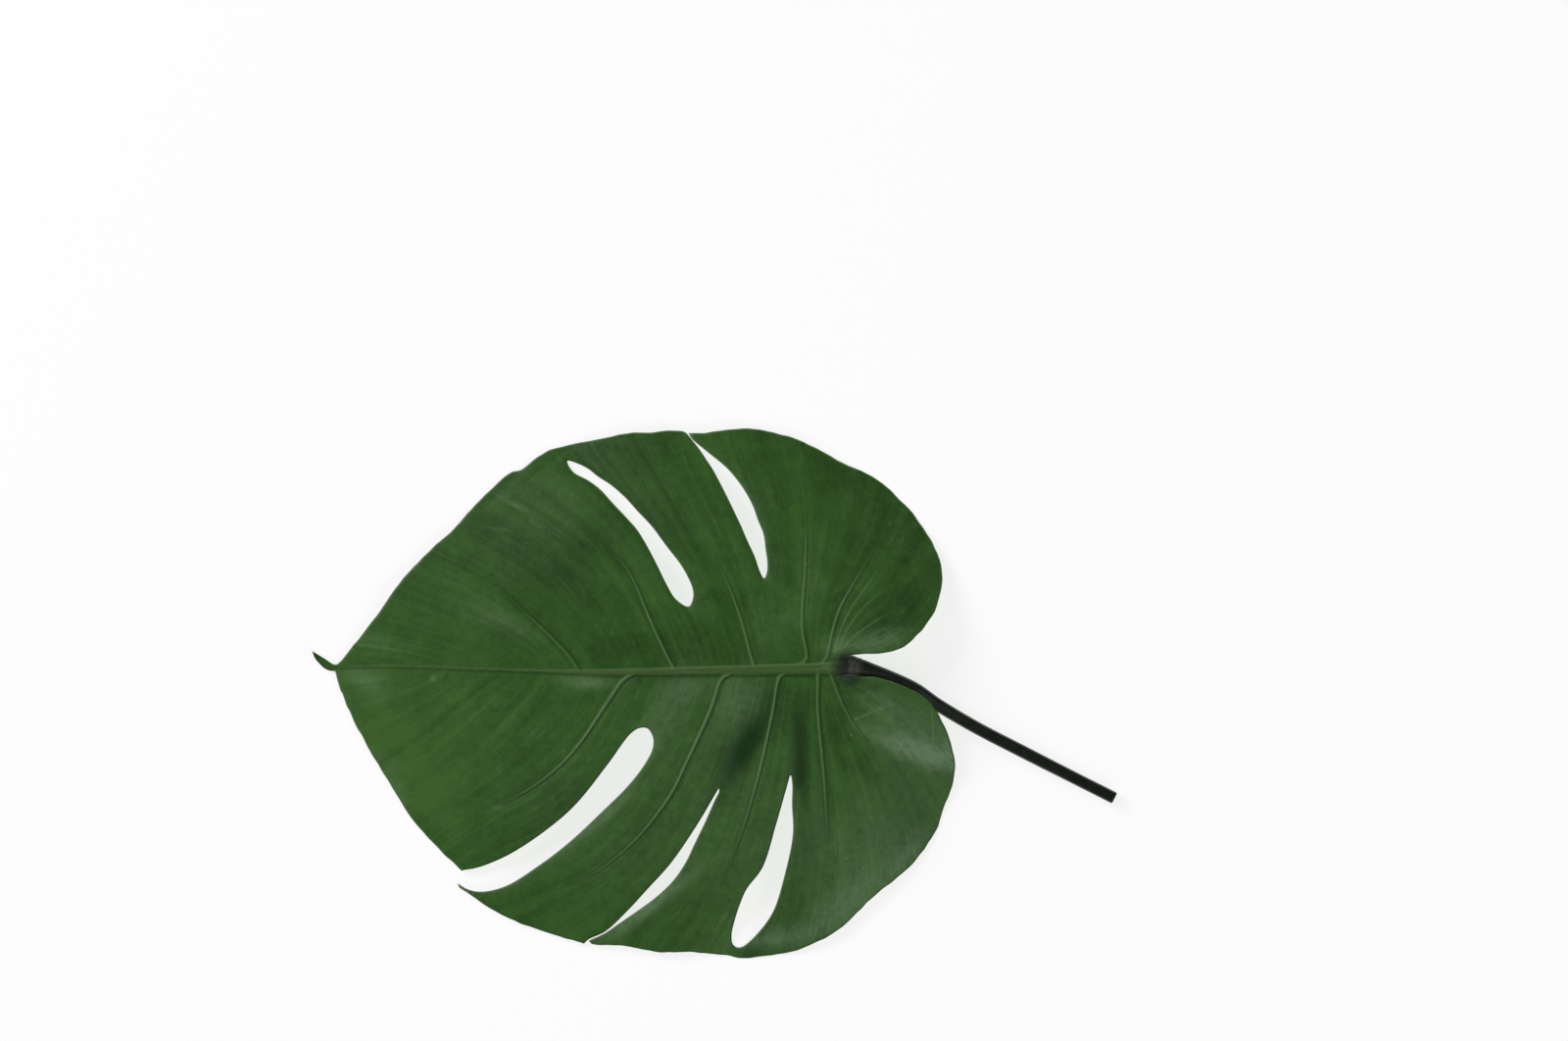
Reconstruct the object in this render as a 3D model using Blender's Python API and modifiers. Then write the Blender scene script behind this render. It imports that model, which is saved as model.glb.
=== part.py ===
"""Monstera leaf, picked and laid face up on a table: its blade with the ribs, and its stem.

Places and sizes are in millimetres in the leaf's own frame. Its origin is the notch where the stem
meets the blade, -X runs along the midrib to the drip tip, +Y is the upper half of the photograph
and Z is the height above the table. The objects themselves are built in metres.
"""
import bpy
import numpy as np
from mathutils import Vector
from mathutils.geometry import delaunay_2d_cdt

COLLECTION = "monstera_leaf"
MM = 0.001

# The blade: how thick it is, and how fine its triangles are
LAMINA = 0.9
OUTLINE_STEP = 3.4
MESH_STEP = 6.2
LATTICE_CLEAR = 0.55 * MESH_STEP
RIB_POINT_STEP = 4.5
RIB_CLEAR = 2.8
RIB_BORDER_CLEAR = 0.9

# The midrib stands out below the blade, thick at the stem and thin at the tip
MIDRIB_DEPTH = 6.4
MIDRIB_HALF_WIDTH = 4.2
MIDRIB_TIP_DEPTH = 0.3
MIDRIB_TIP_HALF_WIDTH = 0.8
MIDRIB_RISE = 0.4
MIDRIB_SPAN = 0.86
MIDRIB_ROW_TAPER = 0.3

# The side ribs stand out below the blade too, and lie in valleys of its upper face
RIB_DEPTH = 1.5
RIB_HALF_WIDTH = 1.7
RIB_TIP_DEPTH = 0.2
VALLEY_DEPTH = 1.3
VALLEY_HALF_WIDTH = 7.5
VALLEY_START = 12.0

# The edges along the slits and holes roll down
EDGE_ROLL = 1.0
EDGE_ROLL_REACH = 3.5

# The blade stands on three points of its margin, and clears the table everywhere else
TABLE_CLEAR = 0.5
FEET = [(-142.0, 83.6), (18.9, 78.1), (-41.2, -126.0)]
FOOT_REACH = 6.0

# The stem: thick and round at the blade, thinner to its cut end
STEM_GAP = 0.3
STEM_POINT_STEP = 6.0
STEM_BEVEL_RESOLUTION = 2

# The outline, stroke by stroke from the point of the tail, anticlockwise as seen from above.
# Each stroke is a smooth curve that starts where the stroke before it ends.
TAIL_POINT = (-227.2, 6.6)
TAIL_BELOW = [(-226.0, 3.4), (-223.9, 0.8), (-222.0, -1.0), (-220.0, -1.9), (-217.4, -2.2)]
MARGIN_BELOW_TIP = [(-216.3, -6.7), (-212.5, -17.6), (-205.0, -32.3), (-194.9, -49.6),
                    (-184.0, -66.8), (-176.8, -74.8), (-168.4, -83.2), (-163.0, -88.2)]
SLIT_1_TIP_SIDE = [(-154.6, -86.1), (-142.0, -80.6), (-125.2, -69.3), (-113.4, -58.8),
                   (-100.0, -42.0), (-89.5, -28.1), (-85.6, -26.0), (-82.7, -26.3), (-81.0, -28.6),
                   (-80.2, -31.8), (-80.9, -35.8), (-84.0, -41.6), (-90.7, -50.4), (-103.3, -63.0),
                   (-116.8, -75.6), (-129.4, -85.3), (-144.1, -94.5), (-154.6, -96.9),
                   (-160.5, -95.8), (-164.6, -93.4)]
MARGIN_LOBE_2 = [(-164.2, -94.9), (-160.8, -97.2), (-157.1, -100.0), (-150.4, -104.6),
                 (-137.8, -110.9), (-126.4, -114.7), (-116.8, -117.7), (-110.4, -119.5)]
SLIT_2 = [(-108.6, -117.6), (-101.2, -114.0), (-91.6, -105.0), (-83.2, -95.8), (-72.7, -84.0),
          (-61.3, -67.2), (-55.1, -56.7), (-53.2, -51.9), (-51.9, -51.6), (-52.0, -53.0),
          (-54.0, -56.9), (-58.2, -66.4), (-63.0, -76.4), (-66.4, -83.6), (-71.8, -91.6),
          (-79.0, -98.7), (-87.4, -105.0), (-95.8, -110.5), (-101.0, -114.9), (-107.8, -118.6)]
MARGIN_LOBE_3 = [(-107.2, -119.4), (-93.7, -120.5), (-78.1, -123.1), (-66.4, -123.1),
                 (-49.6, -124.7), (-41.2, -126.0), (-30.7, -124.7), (-19.3, -122.6), (-7.6, -117.6),
                 (0.8, -112.1), (13.4, -100.0), (30.2, -86.1), (38.5, -75.5), (41.9, -69.6),
                 (44.5, -60.9), (47.9, -52.1), (49.5, -42.0), (47.0, -31.5), (43.0, -22.0),
                 (39.0, -15.6), (34.4, -11.6), (26.0, -7.6), (19.7, -5.2), (13.4, -4.0),
                 (5.0, -3.9), (0.0, -3.8)]
NOTCH = [(0.0, 4.6)]
MARGIN_LOBE_4 = [(3.0, 4.9), (9.2, 5.5), (19.7, 6.0), (26.9, 8.4), (32.3, 13.0), (37.8, 19.3),
                 (40.9, 24.8), (43.3, 33.6), (43.5, 42.0), (40.7, 51.2), (38.2, 55.8), (34.4, 61.3),
                 (30.2, 67.2), (26.0, 71.4), (18.9, 78.1), (11.3, 83.2), (0.8, 87.8), (-7.6, 92.4),
                 (-16.0, 96.6), (-24.4, 99.5), (-39.0, 102.4), (-51.7, 101.6), (-58.0, 100.6),
                 (-65.6, 100.2)]
SLIT_3 = [(-63.9, 97.6), (-58.0, 92.6), (-49.6, 85.7), (-45.4, 81.1), (-41.2, 75.2), (-37.8, 68.9),
          (-35.7, 63.0), (-33.2, 56.7), (-32.3, 50.4), (-31.5, 44.1), (-31.8, 40.2), (-32.9, 37.9),
          (-34.5, 40.4), (-37.0, 47.5), (-40.3, 54.6), (-42.4, 59.6), (-45.4, 65.9), (-48.7, 72.7),
          (-54.6, 84.0), (-57.6, 88.4), (-60.6, 92.0), (-65.0, 97.2)]
MARGIN_LOBE_5 = [(-67.4, 101.1), (-83.2, 100.8), (-91.6, 100.4), (-106.3, 97.4), (-118.9, 94.9),
                 (-125.2, 93.2), (-131.5, 89.5), (-137.8, 84.8), (-142.0, 83.6), (-150.4, 76.4),
                 (-158.8, 68.0), (-166.7, 59.2), (-176.8, 50.0), (-189.0, 37.0), (-200.8, 20.6),
                 (-210.0, 8.8), (-216.0, 1.4)]
TAIL_ABOVE = [(-217.6, 1.2), (-221.8, 3.4), TAIL_POINT]
STROKES = [TAIL_BELOW, MARGIN_BELOW_TIP, SLIT_1_TIP_SIDE, MARGIN_LOBE_2, SLIT_2, MARGIN_LOBE_3,
           NOTCH, MARGIN_LOBE_4, SLIT_3, MARGIN_LOBE_5, TAIL_ABOVE]
SLITS = [SLIT_1_TIP_SIDE, SLIT_2, SLIT_3]

# The two closed holes, each one smooth loop
HOLE_BELOW = [(-21.6, -46.2), (-23.3, -51.7), (-27.7, -67.2), (-33.6, -86.1), (-40.3, -95.3),
              (-42.9, -101.0), (-45.8, -110.0), (-46.9, -115.5), (-46.4, -119.6), (-44.3, -121.0),
              (-41.8, -120.4), (-34.9, -113.8), (-29.0, -105.0), (-24.4, -90.3), (-20.6, -71.4),
              (-21.0, -58.8), (-20.9, -50.0)]
HOLE_ABOVE = [(-65.1, 25.9), (-63.2, 30.2), (-63.8, 34.4), (-68.0, 42.8), (-74.8, 51.7),
              (-81.1, 60.1), (-87.4, 66.8), (-92.8, 72.7), (-99.1, 78.1), (-104.4, 81.5),
              (-108.6, 84.8), (-113.0, 87.0), (-117.6, 88.2), (-115.1, 83.6), (-108.4, 79.8),
              (-103.3, 76.0), (-98.3, 70.6), (-91.1, 63.0), (-87.4, 58.8), (-83.2, 52.1),
              (-78.1, 42.4), (-74.8, 35.7), (-70.6, 29.0)]
HOLES = [HOLE_BELOW, HOLE_ABOVE]

# The ribs, each from the midrib out
MIDRIB = [(0.0, 0.3), (-24.4, -0.4), (-49.6, -1.2), (-66.4, -1.5), (-91.6, -2.1), (-125.2, -2.1),
          (-158.8, -1.0), (-192.4, 0.0), (-215.0, -0.4)]
SIDE_RIBS = [
    [(-92.8, -3.4), (-100.0, -14.3), (-112.6, -33.6), (-121.0, -42.8), (-131.5, -51.2), (-151.6, -62.6)],
    [(-50.8, -4.2), (-55.4, -16.8), (-66.4, -41.2), (-73.5, -55.4), (-89.5, -75.6), (-108.4, -90.3),
     (-121.0, -95.3)],
    [(-26.5, -4.2), (-28.6, -16.8), (-34.9, -44.1), (-41.2, -66.4), (-49.6, -90.3)],
    [(-9.7, -3.4), (-10.1, -16.8), (-7.1, -50.4), (-5.9, -71.4), (-5.5, -84.0)],
    [(-3.4, -5.0), (1.3, -17.6), (9.2, -30.2), (15.5, -37.8)],
    [(-113.4, -0.4), (-117.6, 6.7), (-133.6, 21.8), (-147.0, 33.6)],
    [(-72.2, 0.8), (-81.1, 18.9), (-91.6, 42.0), (-102.1, 52.5)],
    [(-37.8, 1.7), (-42.8, 20.2), (-49.6, 38.6), (-54.6, 48.3)],
    [(-14.7, 3.4), (-16.8, 16.8), (-15.1, 46.2), (-15.1, 69.3)],
    [(-6.3, 4.0), (-1.3, 24.4), (9.2, 42.0), (17.2, 55.4)],
]

# Heights of the blade's upper face above the table: x, y, z.
# It is highest at the notch, and its edges come down to the table at several places.
HEIGHT_KNOTS = [
    (0.0, 0.0, 24.6), (-30.0, -0.5, 24.4), (-60.0, -1.4, 22.8), (-92.0, -2.0, 20.0), (-125.0, -2.0, 16.0),
    (-159.0, -1.0, 11.0), (-190.0, 0.0, 5.8), (-216.0, 0.0, 2.2), (-222.0, 1.0, 2.6), (-227.0, 6.5, 5.0),
    (-20.0, -45.0, 22.6), (-60.0, -38.0, 22.2), (-100.0, -36.0, 18.6), (-140.0, -34.0, 13.2),
    (-172.0, -32.0, 8.0), (10.0, -32.0, 22.0), (20.0, -68.0, 14.0), (-14.0, -85.0, 13.6),
    (-46.0, -84.0, 14.8), (-84.0, -66.0, 16.2), (-122.0, -72.0, 10.2), (-152.0, -66.0, 8.0),
    (-205.0, -32.0, 3.4), (-184.0, -66.8, 2.2), (-165.0, -86.0, 3.4), (-162.0, -95.0, 4.4),
    (-130.0, -111.0, 2.6), (-109.0, -119.0, 3.4), (-94.0, -119.0, 4.2), (-70.0, -122.0, 4.6),
    (-42.0, -124.0, 0.8), (-8.0, -116.0, 4.4), (14.0, -98.0, 4.8), (32.0, -83.0, 3.0),
    (43.0, -60.0, 2.4), (49.0, -42.0, 6.6), (46.0, -30.0, 11.6), (39.0, -16.0, 18.4),
    (30.0, -9.5, 22.2), (19.7, -5.0, 24.0), (8.0, -3.8, 24.6),
    (-20.0, 45.0, 21.8), (-60.0, 40.0, 20.8), (-100.0, 36.0, 17.2), (-140.0, 34.0, 12.4),
    (-175.0, 28.0, 7.6), (10.0, 38.0, 20.6), (20.0, 20.0, 22.6), (-12.0, 74.0, 14.0),
    (-44.0, 74.0, 14.6), (-84.0, 74.0, 12.0), (-210.0, 8.8, 2.8), (-189.0, 37.0, 4.2),
    (-166.0, 59.0, 2.8), (-142.0, 82.0, -0.4), (-119.0, 93.0, 1.6), (-92.0, 99.0, 4.0),
    (-67.0, 99.0, 5.4), (-39.0, 101.0, 3.6), (-8.0, 91.0, 5.6), (19.0, 75.0, -0.8),
    (38.0, 54.0, 4.4), (43.0, 38.0, 8.6), (38.0, 20.0, 18.0), (28.0, 9.5, 24.0),
    (19.7, 6.4, 25.6), (9.0, 5.5, 25.6),
]

# Folds that lead from the midrib to the inner ends of two slits: the blade drops to their +X side
FOLDS = [
    ((-42.0, -14.0), (-50.5, -51.0)),
    ((-18.5, -12.0), (-21.5, -46.0)),
]
FOLD_DROP = 2.2
FOLD_HALF_WIDTH = 4.0
FOLD_REACH = 12.0
FOLD_LENGTH = 0.65

# The stem's route and its half width there: x, y, z, radius
STEM = [
    (STEM_GAP, 0.3, 20.4, 3.6), (4.0, 0.3, 20.4, 3.8), (10.5, 0.1, 20.1, 3.6), (19.7, -2.5, 18.3, 3.1),
    (30.2, -8.8, 15.2, 2.9), (41.5, -16.4, 11.7, 2.8), (58.0, -26.2, 7.8, 2.7), (78.0, -36.6, 5.0, 2.7),
    (98.0, -46.8, 3.6, 2.6), (117.6, -56.7, 3.2, 2.6),
]

BLADE_GREEN = (0.032, 0.090, 0.020, 1.0)
BLADE_ROUGHNESS = 0.42
STEM_GREEN = (0.006, 0.012, 0.006, 1.0)
STEM_ROUGHNESS = 0.35


def clear_scene():
    """Removes the objects that Blender starts with."""
    for item in list(bpy.data.objects):
        bpy.data.objects.remove(item, do_unlink=True)


def material(name, colour, roughness):
    """A plain Principled material."""
    made = bpy.data.materials.new(name)
    made.use_nodes = True
    shader = made.node_tree.nodes["Principled BSDF"]
    shader.inputs["Base Color"].default_value = colour
    shader.inputs["Roughness"].default_value = roughness
    shader.inputs["Metallic"].default_value = 0.0
    return made


def smooth(points, step):
    """Points about a step apart on the centripetal Catmull-Rom curve through these points."""
    given = np.array(points, float)
    before = 2 * given[0] - given[1]
    after = 2 * given[-1] - given[-2]
    control = np.vstack([before, given, after])
    found = []
    for p0, p1, p2, p3 in zip(control, control[1:], control[2:], control[3:]):
        t1 = np.linalg.norm((p1 - p0)[:2]) ** 0.5
        t2 = t1 + np.linalg.norm((p2 - p1)[:2]) ** 0.5
        t3 = t2 + np.linalg.norm((p3 - p2)[:2]) ** 0.5
        count = max(1, round(np.linalg.norm((p2 - p1)[:2]) / step))
        for t in t1 + (t2 - t1) * np.arange(count) / count:
            a1 = (t1 - t) / t1 * p0 + t / t1 * p1
            a2 = (t2 - t) / (t2 - t1) * p1 + (t - t1) / (t2 - t1) * p2
            a3 = (t3 - t) / (t3 - t2) * p2 + (t - t2) / (t3 - t2) * p3
            b1 = (t2 - t) / t2 * a1 + t / t2 * a2
            b2 = (t3 - t) / (t3 - t1) * a2 + (t - t1) / (t3 - t1) * a3
            found.append((t2 - t) / (t2 - t1) * b1 + (t - t1) / (t2 - t1) * b2)
    found.append(given[-1])
    return np.array(found)


def outline_loop(step):
    """The whole outline of the blade, sampled, with its corners kept."""
    loop = []
    start = TAIL_POINT
    for stroke in STROKES:
        loop.extend(smooth([start] + stroke, step)[:-1])
        start = stroke[-1]
    return np.array(loop)


def hole_loop(hole, step):
    """One closed hole, sampled."""
    return smooth(hole + [hole[0]], step)[:-1]


def path_distance(points, path):
    """How far each point lies from a path, how far along it (0 to 1), and how far to its left."""
    a = path[:-1]
    run = path[1:] - a
    length = np.linalg.norm(run, axis=1)
    start = np.concatenate([[0.0], np.cumsum(length)])
    offset = points[:, None, :] - a[None]
    t = np.clip(np.sum(offset * run[None], axis=2) / (length ** 2)[None], 0.0, 1.0)
    gap = offset - t[..., None] * run[None]
    distance = np.linalg.norm(gap, axis=2)
    nearest = np.argmin(distance, axis=1)
    row = np.arange(len(points))
    along = (start[nearest] + t[row, nearest] * length[nearest]) / start[-1]
    side = run[nearest, 0] * gap[row, nearest, 1] - run[nearest, 1] * gap[row, nearest, 0]
    return distance[row, nearest], along, np.sign(side) * distance[row, nearest]


def inside(points, loops):
    """Which points lie on the blade: inside an odd number of the loops."""
    crossings = np.zeros(len(points), int)
    for loop in loops:
        x1, y1 = loop[:, 0], loop[:, 1]
        x2, y2 = np.roll(x1, -1), np.roll(y1, -1)
        x, y = points[:, 0:1], points[:, 1:2]
        spans = (y1 > y) != (y2 > y)
        rise = np.where(y2 == y1, 1.0, y2 - y1)
        crossings += np.sum(spans & (x < x1 + (y - y1) / rise * (x2 - x1)), axis=1)
    return crossings % 2 == 1


def thin_plate(knots):
    """The smooth height function through the knots: a thin-plate spline."""
    at = np.array(knots, float)
    count = len(at)

    def kernel(r):
        return np.where(r > 0, r * r * np.log(np.maximum(r, 1e-9)), 0.0)

    flat = np.hstack([np.ones((count, 1)), at[:, :2]])
    system = np.zeros((count + 3, count + 3))
    system[:count, :count] = kernel(np.linalg.norm(at[:, None, :2] - at[None, :, :2], axis=2))
    system[:count, count:] = flat
    system[count:, :count] = flat.T
    weight = np.linalg.solve(system, np.concatenate([at[:, 2], np.zeros(3)]))

    def height(points):
        r = np.linalg.norm(points[:, None, :] - at[None, :, :2], axis=2)
        return kernel(r) @ weight[:count] + weight[count] + points @ weight[count + 1:]

    return height


def blade_height(points, edges):
    """The height of the blade's upper face, which comes down to the table only at its feet."""
    z = thin_plate(HEIGHT_KNOTS)(points)
    for rib in SIDE_RIBS:
        distance, along, _ = path_distance(points, smooth(rib, RIB_POINT_STEP))
        length = np.linalg.norm(np.array(rib[-1]) - np.array(rib[0]))
        grown = np.clip(along * length / VALLEY_START, 0.0, 1.0) * (1.0 - 0.6 * along)
        z -= VALLEY_DEPTH * grown * np.exp(-(distance / VALLEY_HALF_WIDTH) ** 2)
    for start, end in np.array(FOLDS):
        run = end - start
        along = (points - start) @ run / (run @ run)
        left = (run[0] * (points[:, 1] - start[1]) - run[1] * (points[:, 0] - start[0])) / np.linalg.norm(run)
        grown = np.exp(-(left / FOLD_REACH) ** 2 - ((along - 0.5) / FOLD_LENGTH) ** 4)
        z -= 0.5 * FOLD_DROP * np.tanh(left / FOLD_HALF_WIDTH) * grown
    for edge in edges:
        distance, _, _ = path_distance(points, edge)
        z -= EDGE_ROLL * np.exp(-distance / EDGE_ROLL_REACH)
    distance, along, _ = path_distance(points, smooth(MIDRIB, RIB_POINT_STEP))
    z += MIDRIB_RISE * np.clip(1.0 - along, 0.0, 1.0) * np.exp(-(distance / MIDRIB_HALF_WIDTH) ** 2)
    foot = np.linalg.norm(points[:, None, :] - np.array(FEET), axis=2).min(axis=1)
    return np.maximum(z, LAMINA + TABLE_CLEAR) - TABLE_CLEAR * np.exp(-foot / FOOT_REACH)


def blade_thickness(points):
    """How thick the blade is: an even lamina, with the ribs standing out below it."""
    distance, along, _ = path_distance(points, smooth(MIDRIB, RIB_POINT_STEP))
    taper = np.clip(1.0 - along / MIDRIB_SPAN, 0.0, 1.0)
    depth = MIDRIB_TIP_DEPTH + (MIDRIB_DEPTH - MIDRIB_TIP_DEPTH) * taper
    half = MIDRIB_TIP_HALF_WIDTH + (MIDRIB_HALF_WIDTH - MIDRIB_TIP_HALF_WIDTH) * taper
    extra = depth * np.clip(1.0 - (distance / half) ** 2, 0.0, 1.0)
    for rib in SIDE_RIBS:
        distance, along, _ = path_distance(points, smooth(rib, RIB_POINT_STEP))
        depth = RIB_TIP_DEPTH + (RIB_DEPTH - RIB_TIP_DEPTH) * (1.0 - along)
        extra = np.maximum(extra, depth * np.clip(1.0 - (distance / RIB_HALF_WIDTH) ** 2, 0.0, 1.0))
    return LAMINA + extra


def rows_beside(path, offsets):
    """Rows of points beside a path, at these distances to its left."""
    run = np.gradient(path, axis=0)
    run /= np.linalg.norm(run, axis=1)[:, None]
    left = np.column_stack([-run[:, 1], run[:, 0]])
    return [path + offset * left for offset in offsets]


def rib_rows():
    """Rows of points along every rib, on its crest and down both its sides."""
    crest = smooth(MIDRIB, RIB_POINT_STEP)
    taper = np.linspace(1.0, MIDRIB_ROW_TAPER, len(crest))[:, None]
    rows = [crest + (row - crest) * taper
            for row in rows_beside(crest, [share * MIDRIB_HALF_WIDTH for share in (-1.0, -0.5, 0.0, 0.5, 1.0)])]
    for rib in SIDE_RIBS:
        path = smooth(rib, RIB_POINT_STEP)[1:]
        rows.extend(rows_beside(path, [-RIB_HALF_WIDTH, 0.0, RIB_HALF_WIDTH]))
    return rows


def apart(points, others, distance):
    """Which points lie at least this far from all the others."""
    gap = np.linalg.norm(points[:, None, :] - others[None], axis=2).min(axis=1)
    return gap >= distance


def lattice(low, high):
    """An even triangular lattice of points over a rectangle."""
    rows = []
    rise = MESH_STEP * 0.75 ** 0.5
    for number, y in enumerate(np.arange(low[1], high[1], rise)):
        x = np.arange(low[0] + 0.5 * MESH_STEP * (number % 2), high[0], MESH_STEP)
        rows.append(np.column_stack([x, np.full(len(x), y)]))
    return np.vstack(rows)


def blade_sheet():
    """The blade's upper face: its points and its triangles."""
    loops = [outline_loop(OUTLINE_STEP)] + [hole_loop(hole, OUTLINE_STEP) for hole in HOLES]
    border = np.vstack(loops)
    edges = []
    first = 0
    for loop in loops:
        count = len(loop)
        edges.extend((first + i, first + (i + 1) % count) for i in range(count))
        first += count
    ribs = []
    for row in rib_rows():
        kept = inside(row, loops) & apart(row, border, RIB_BORDER_CLEAR)
        place = first + np.cumsum(kept) - 1
        edges.extend((place[i], place[i + 1]) for i in range(len(row) - 1) if kept[i] and kept[i + 1])
        ribs.append(row[kept])
        first += int(kept.sum())
    ribs = np.vstack(ribs)
    field = lattice(border.min(axis=0), border.max(axis=0))
    field = field[inside(field, loops) & apart(field, border, LATTICE_CLEAR) & apart(field, ribs, RIB_CLEAR)]
    points = np.vstack([border, ribs, field])
    corners, _, faces, *_ = delaunay_2d_cdt([Vector(p) for p in points], edges, [], 1, 1e-6)
    corners = np.array([tuple(c) for c in corners])
    faces = np.array([tuple(f) for f in faces])
    faces = faces[inside(corners[faces].mean(axis=1), loops)]
    slit_edges = [smooth(slit, OUTLINE_STEP) for slit in SLITS]
    slit_edges += [np.vstack([loop, loop[:1]]) for loop in loops[1:]]
    z = blade_height(corners, slit_edges)
    return np.column_stack([corners, z]), faces


def build_blade(collection, holder):
    """The blade: its upper face, thickened downwards by Solidify as its vertex group says."""
    points, faces = blade_sheet()
    mesh = bpy.data.meshes.new("leaf_blade")
    mesh.from_pydata((points * MM).tolist(), [], faces.tolist())
    mesh.validate()
    blade = bpy.data.objects.new("leaf_blade", mesh)
    collection.objects.link(blade)
    blade.parent = holder
    full = LAMINA + MIDRIB_DEPTH
    group = blade.vertex_groups.new(name="thickness")
    for index, thickness in enumerate(blade_thickness(points[:, :2])):
        group.add([index], thickness / full, "REPLACE")
    shell = blade.modifiers.new("thickness", "SOLIDIFY")
    shell.thickness = full * MM
    shell.offset = -1.0
    shell.vertex_group = group.name
    blade.data.materials.append(material("blade_green", BLADE_GREEN, BLADE_ROUGHNESS))
    return blade


def build_stem(collection, holder):
    """The stem: one round bar along its route, with flat ends."""
    route = smooth(STEM, STEM_POINT_STEP)
    curve = bpy.data.curves.new("leaf_stem", "CURVE")
    curve.dimensions = "3D"
    curve.bevel_depth = MM
    curve.bevel_resolution = STEM_BEVEL_RESOLUTION
    curve.use_fill_caps = True
    spline = curve.splines.new("POLY")
    spline.points.add(len(route) - 1)
    for point, (x, y, z, radius) in zip(spline.points, route):
        point.co = (x * MM, y * MM, z * MM, 1.0)
        point.radius = radius
    stem = bpy.data.objects.new("leaf_stem", curve)
    collection.objects.link(stem)
    stem.parent = holder
    stem.data.materials.append(material("stem_green", STEM_GREEN, STEM_ROUGHNESS))
    return stem


def frame_shift():
    """Where the notch goes, so that the whole leaf stands centred over the row's origin."""
    plan = np.vstack([outline_loop(OUTLINE_STEP), np.array(STEM)[:, :2]])
    middle = (plan.min(axis=0) + plan.max(axis=0)) / 2
    return (-middle[0] * MM, -middle[1] * MM, 0.0)


def main():
    """Builds the leaf."""
    clear_scene()
    collection = bpy.data.collections.new(COLLECTION)
    bpy.context.scene.collection.children.link(collection)
    holder = bpy.data.objects.new("leaf", None)
    holder.location = frame_shift()
    collection.objects.link(holder)
    build_blade(collection, holder)
    build_stem(collection, holder)


main()
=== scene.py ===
"""Looks of the monstera leaf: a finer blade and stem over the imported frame, with light and camera.

Places and sizes are in millimetres in the leaf's own frame, as in the part's source. Its origin is
the notch where the stem meets the blade, -X runs along the midrib to the drip tip, +Y is the upper
half of the photograph and Z is the height above the table. Meshes are made in metres.
"""

import bpy
import numpy as np
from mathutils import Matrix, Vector, noise
from mathutils.geometry import delaunay_2d_cdt
from mathutils.kdtree import KDTree


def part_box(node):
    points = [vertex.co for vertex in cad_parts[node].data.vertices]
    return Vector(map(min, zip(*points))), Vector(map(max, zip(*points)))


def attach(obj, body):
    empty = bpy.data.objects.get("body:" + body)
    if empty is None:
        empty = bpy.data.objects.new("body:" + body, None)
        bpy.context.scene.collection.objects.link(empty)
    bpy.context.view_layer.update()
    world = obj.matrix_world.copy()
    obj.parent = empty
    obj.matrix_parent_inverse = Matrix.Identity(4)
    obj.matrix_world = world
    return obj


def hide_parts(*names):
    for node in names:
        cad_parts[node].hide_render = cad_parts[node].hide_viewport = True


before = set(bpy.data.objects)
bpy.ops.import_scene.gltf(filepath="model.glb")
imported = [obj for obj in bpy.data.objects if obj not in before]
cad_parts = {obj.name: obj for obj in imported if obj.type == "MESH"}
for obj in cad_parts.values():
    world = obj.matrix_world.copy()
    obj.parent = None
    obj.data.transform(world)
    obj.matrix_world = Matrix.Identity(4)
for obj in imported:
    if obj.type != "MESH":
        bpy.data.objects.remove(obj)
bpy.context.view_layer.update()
MM = 0.001

# What the photograph's frame shows, in the leaf's own millimetres
PHOTO_CENTRE = (-24.4, 62.6)
PHOTO_WIDTH = 672.0
CAMERA_HEIGHT = 3.0
BLADE_LEVEL = 0.012
SENSOR_WIDTH = 36.0

# How fine the blade's two faces are
OUTLINE_STEP = 1.0
UPPER_STEP = 0.98
LOWER_STEP = 1.5
RIB_ROW_STEP = 1.1
MIDRIB_PATH_STEP = 4.0
RIB_PATH_STEP = 3.0
FINE_RIB_PATH_STEP = 2.0
GUIDE_PATH_STEP = 6.0

# How far the points of a face keep from each other, as shares of its step
RIB_POINT_GAP = 0.28
RIB_BORDER_GAP = 0.4
FIELD_GAP = 0.6
# How far apart an even triangular lattice has its rows, for each step along them
TRIANGLE_HEIGHT = 0.75 ** 0.5
# How many points a rib's rows leave out at its root, where it lies inside the midrib
RIB_ROOT_POINTS = 2
TINY = 1e-6

# The blade's own form, as in the part's source. A pair is a rib's value at its tip and at its root.
LAMINA = 0.9
CEILING = 25.7
MIDRIB_DEPTH = (0.3, 6.4)
MIDRIB_HALF_WIDTH = (0.8, 4.2)
MIDRIB_SPAN = 0.86
MIDRIB_ROUNDNESS = 0.7
RIB_DEPTH = (0.2, 1.5)
RIB_HALF_WIDTH = 1.7
VALLEY_DEPTH = 1.3
VALLEY_HALF_WIDTH = 7.5
VALLEY_START = 12.0
VALLEY_TAPER = 0.6
EDGE_ROLL = 1.0
EDGE_ROLL_REACH = 3.5
TABLE_CLEAR = 0.5
FEET = [(-142.0, 83.6), (18.9, 78.1), (-41.2, -126.0)]
FOOT_REACH = 6.0
FOLD_DROP = 2.2
FOLD_HALF_WIDTH = 4.0
FOLD_REACH = 12.0
FOLD_LENGTH = 0.65

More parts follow.
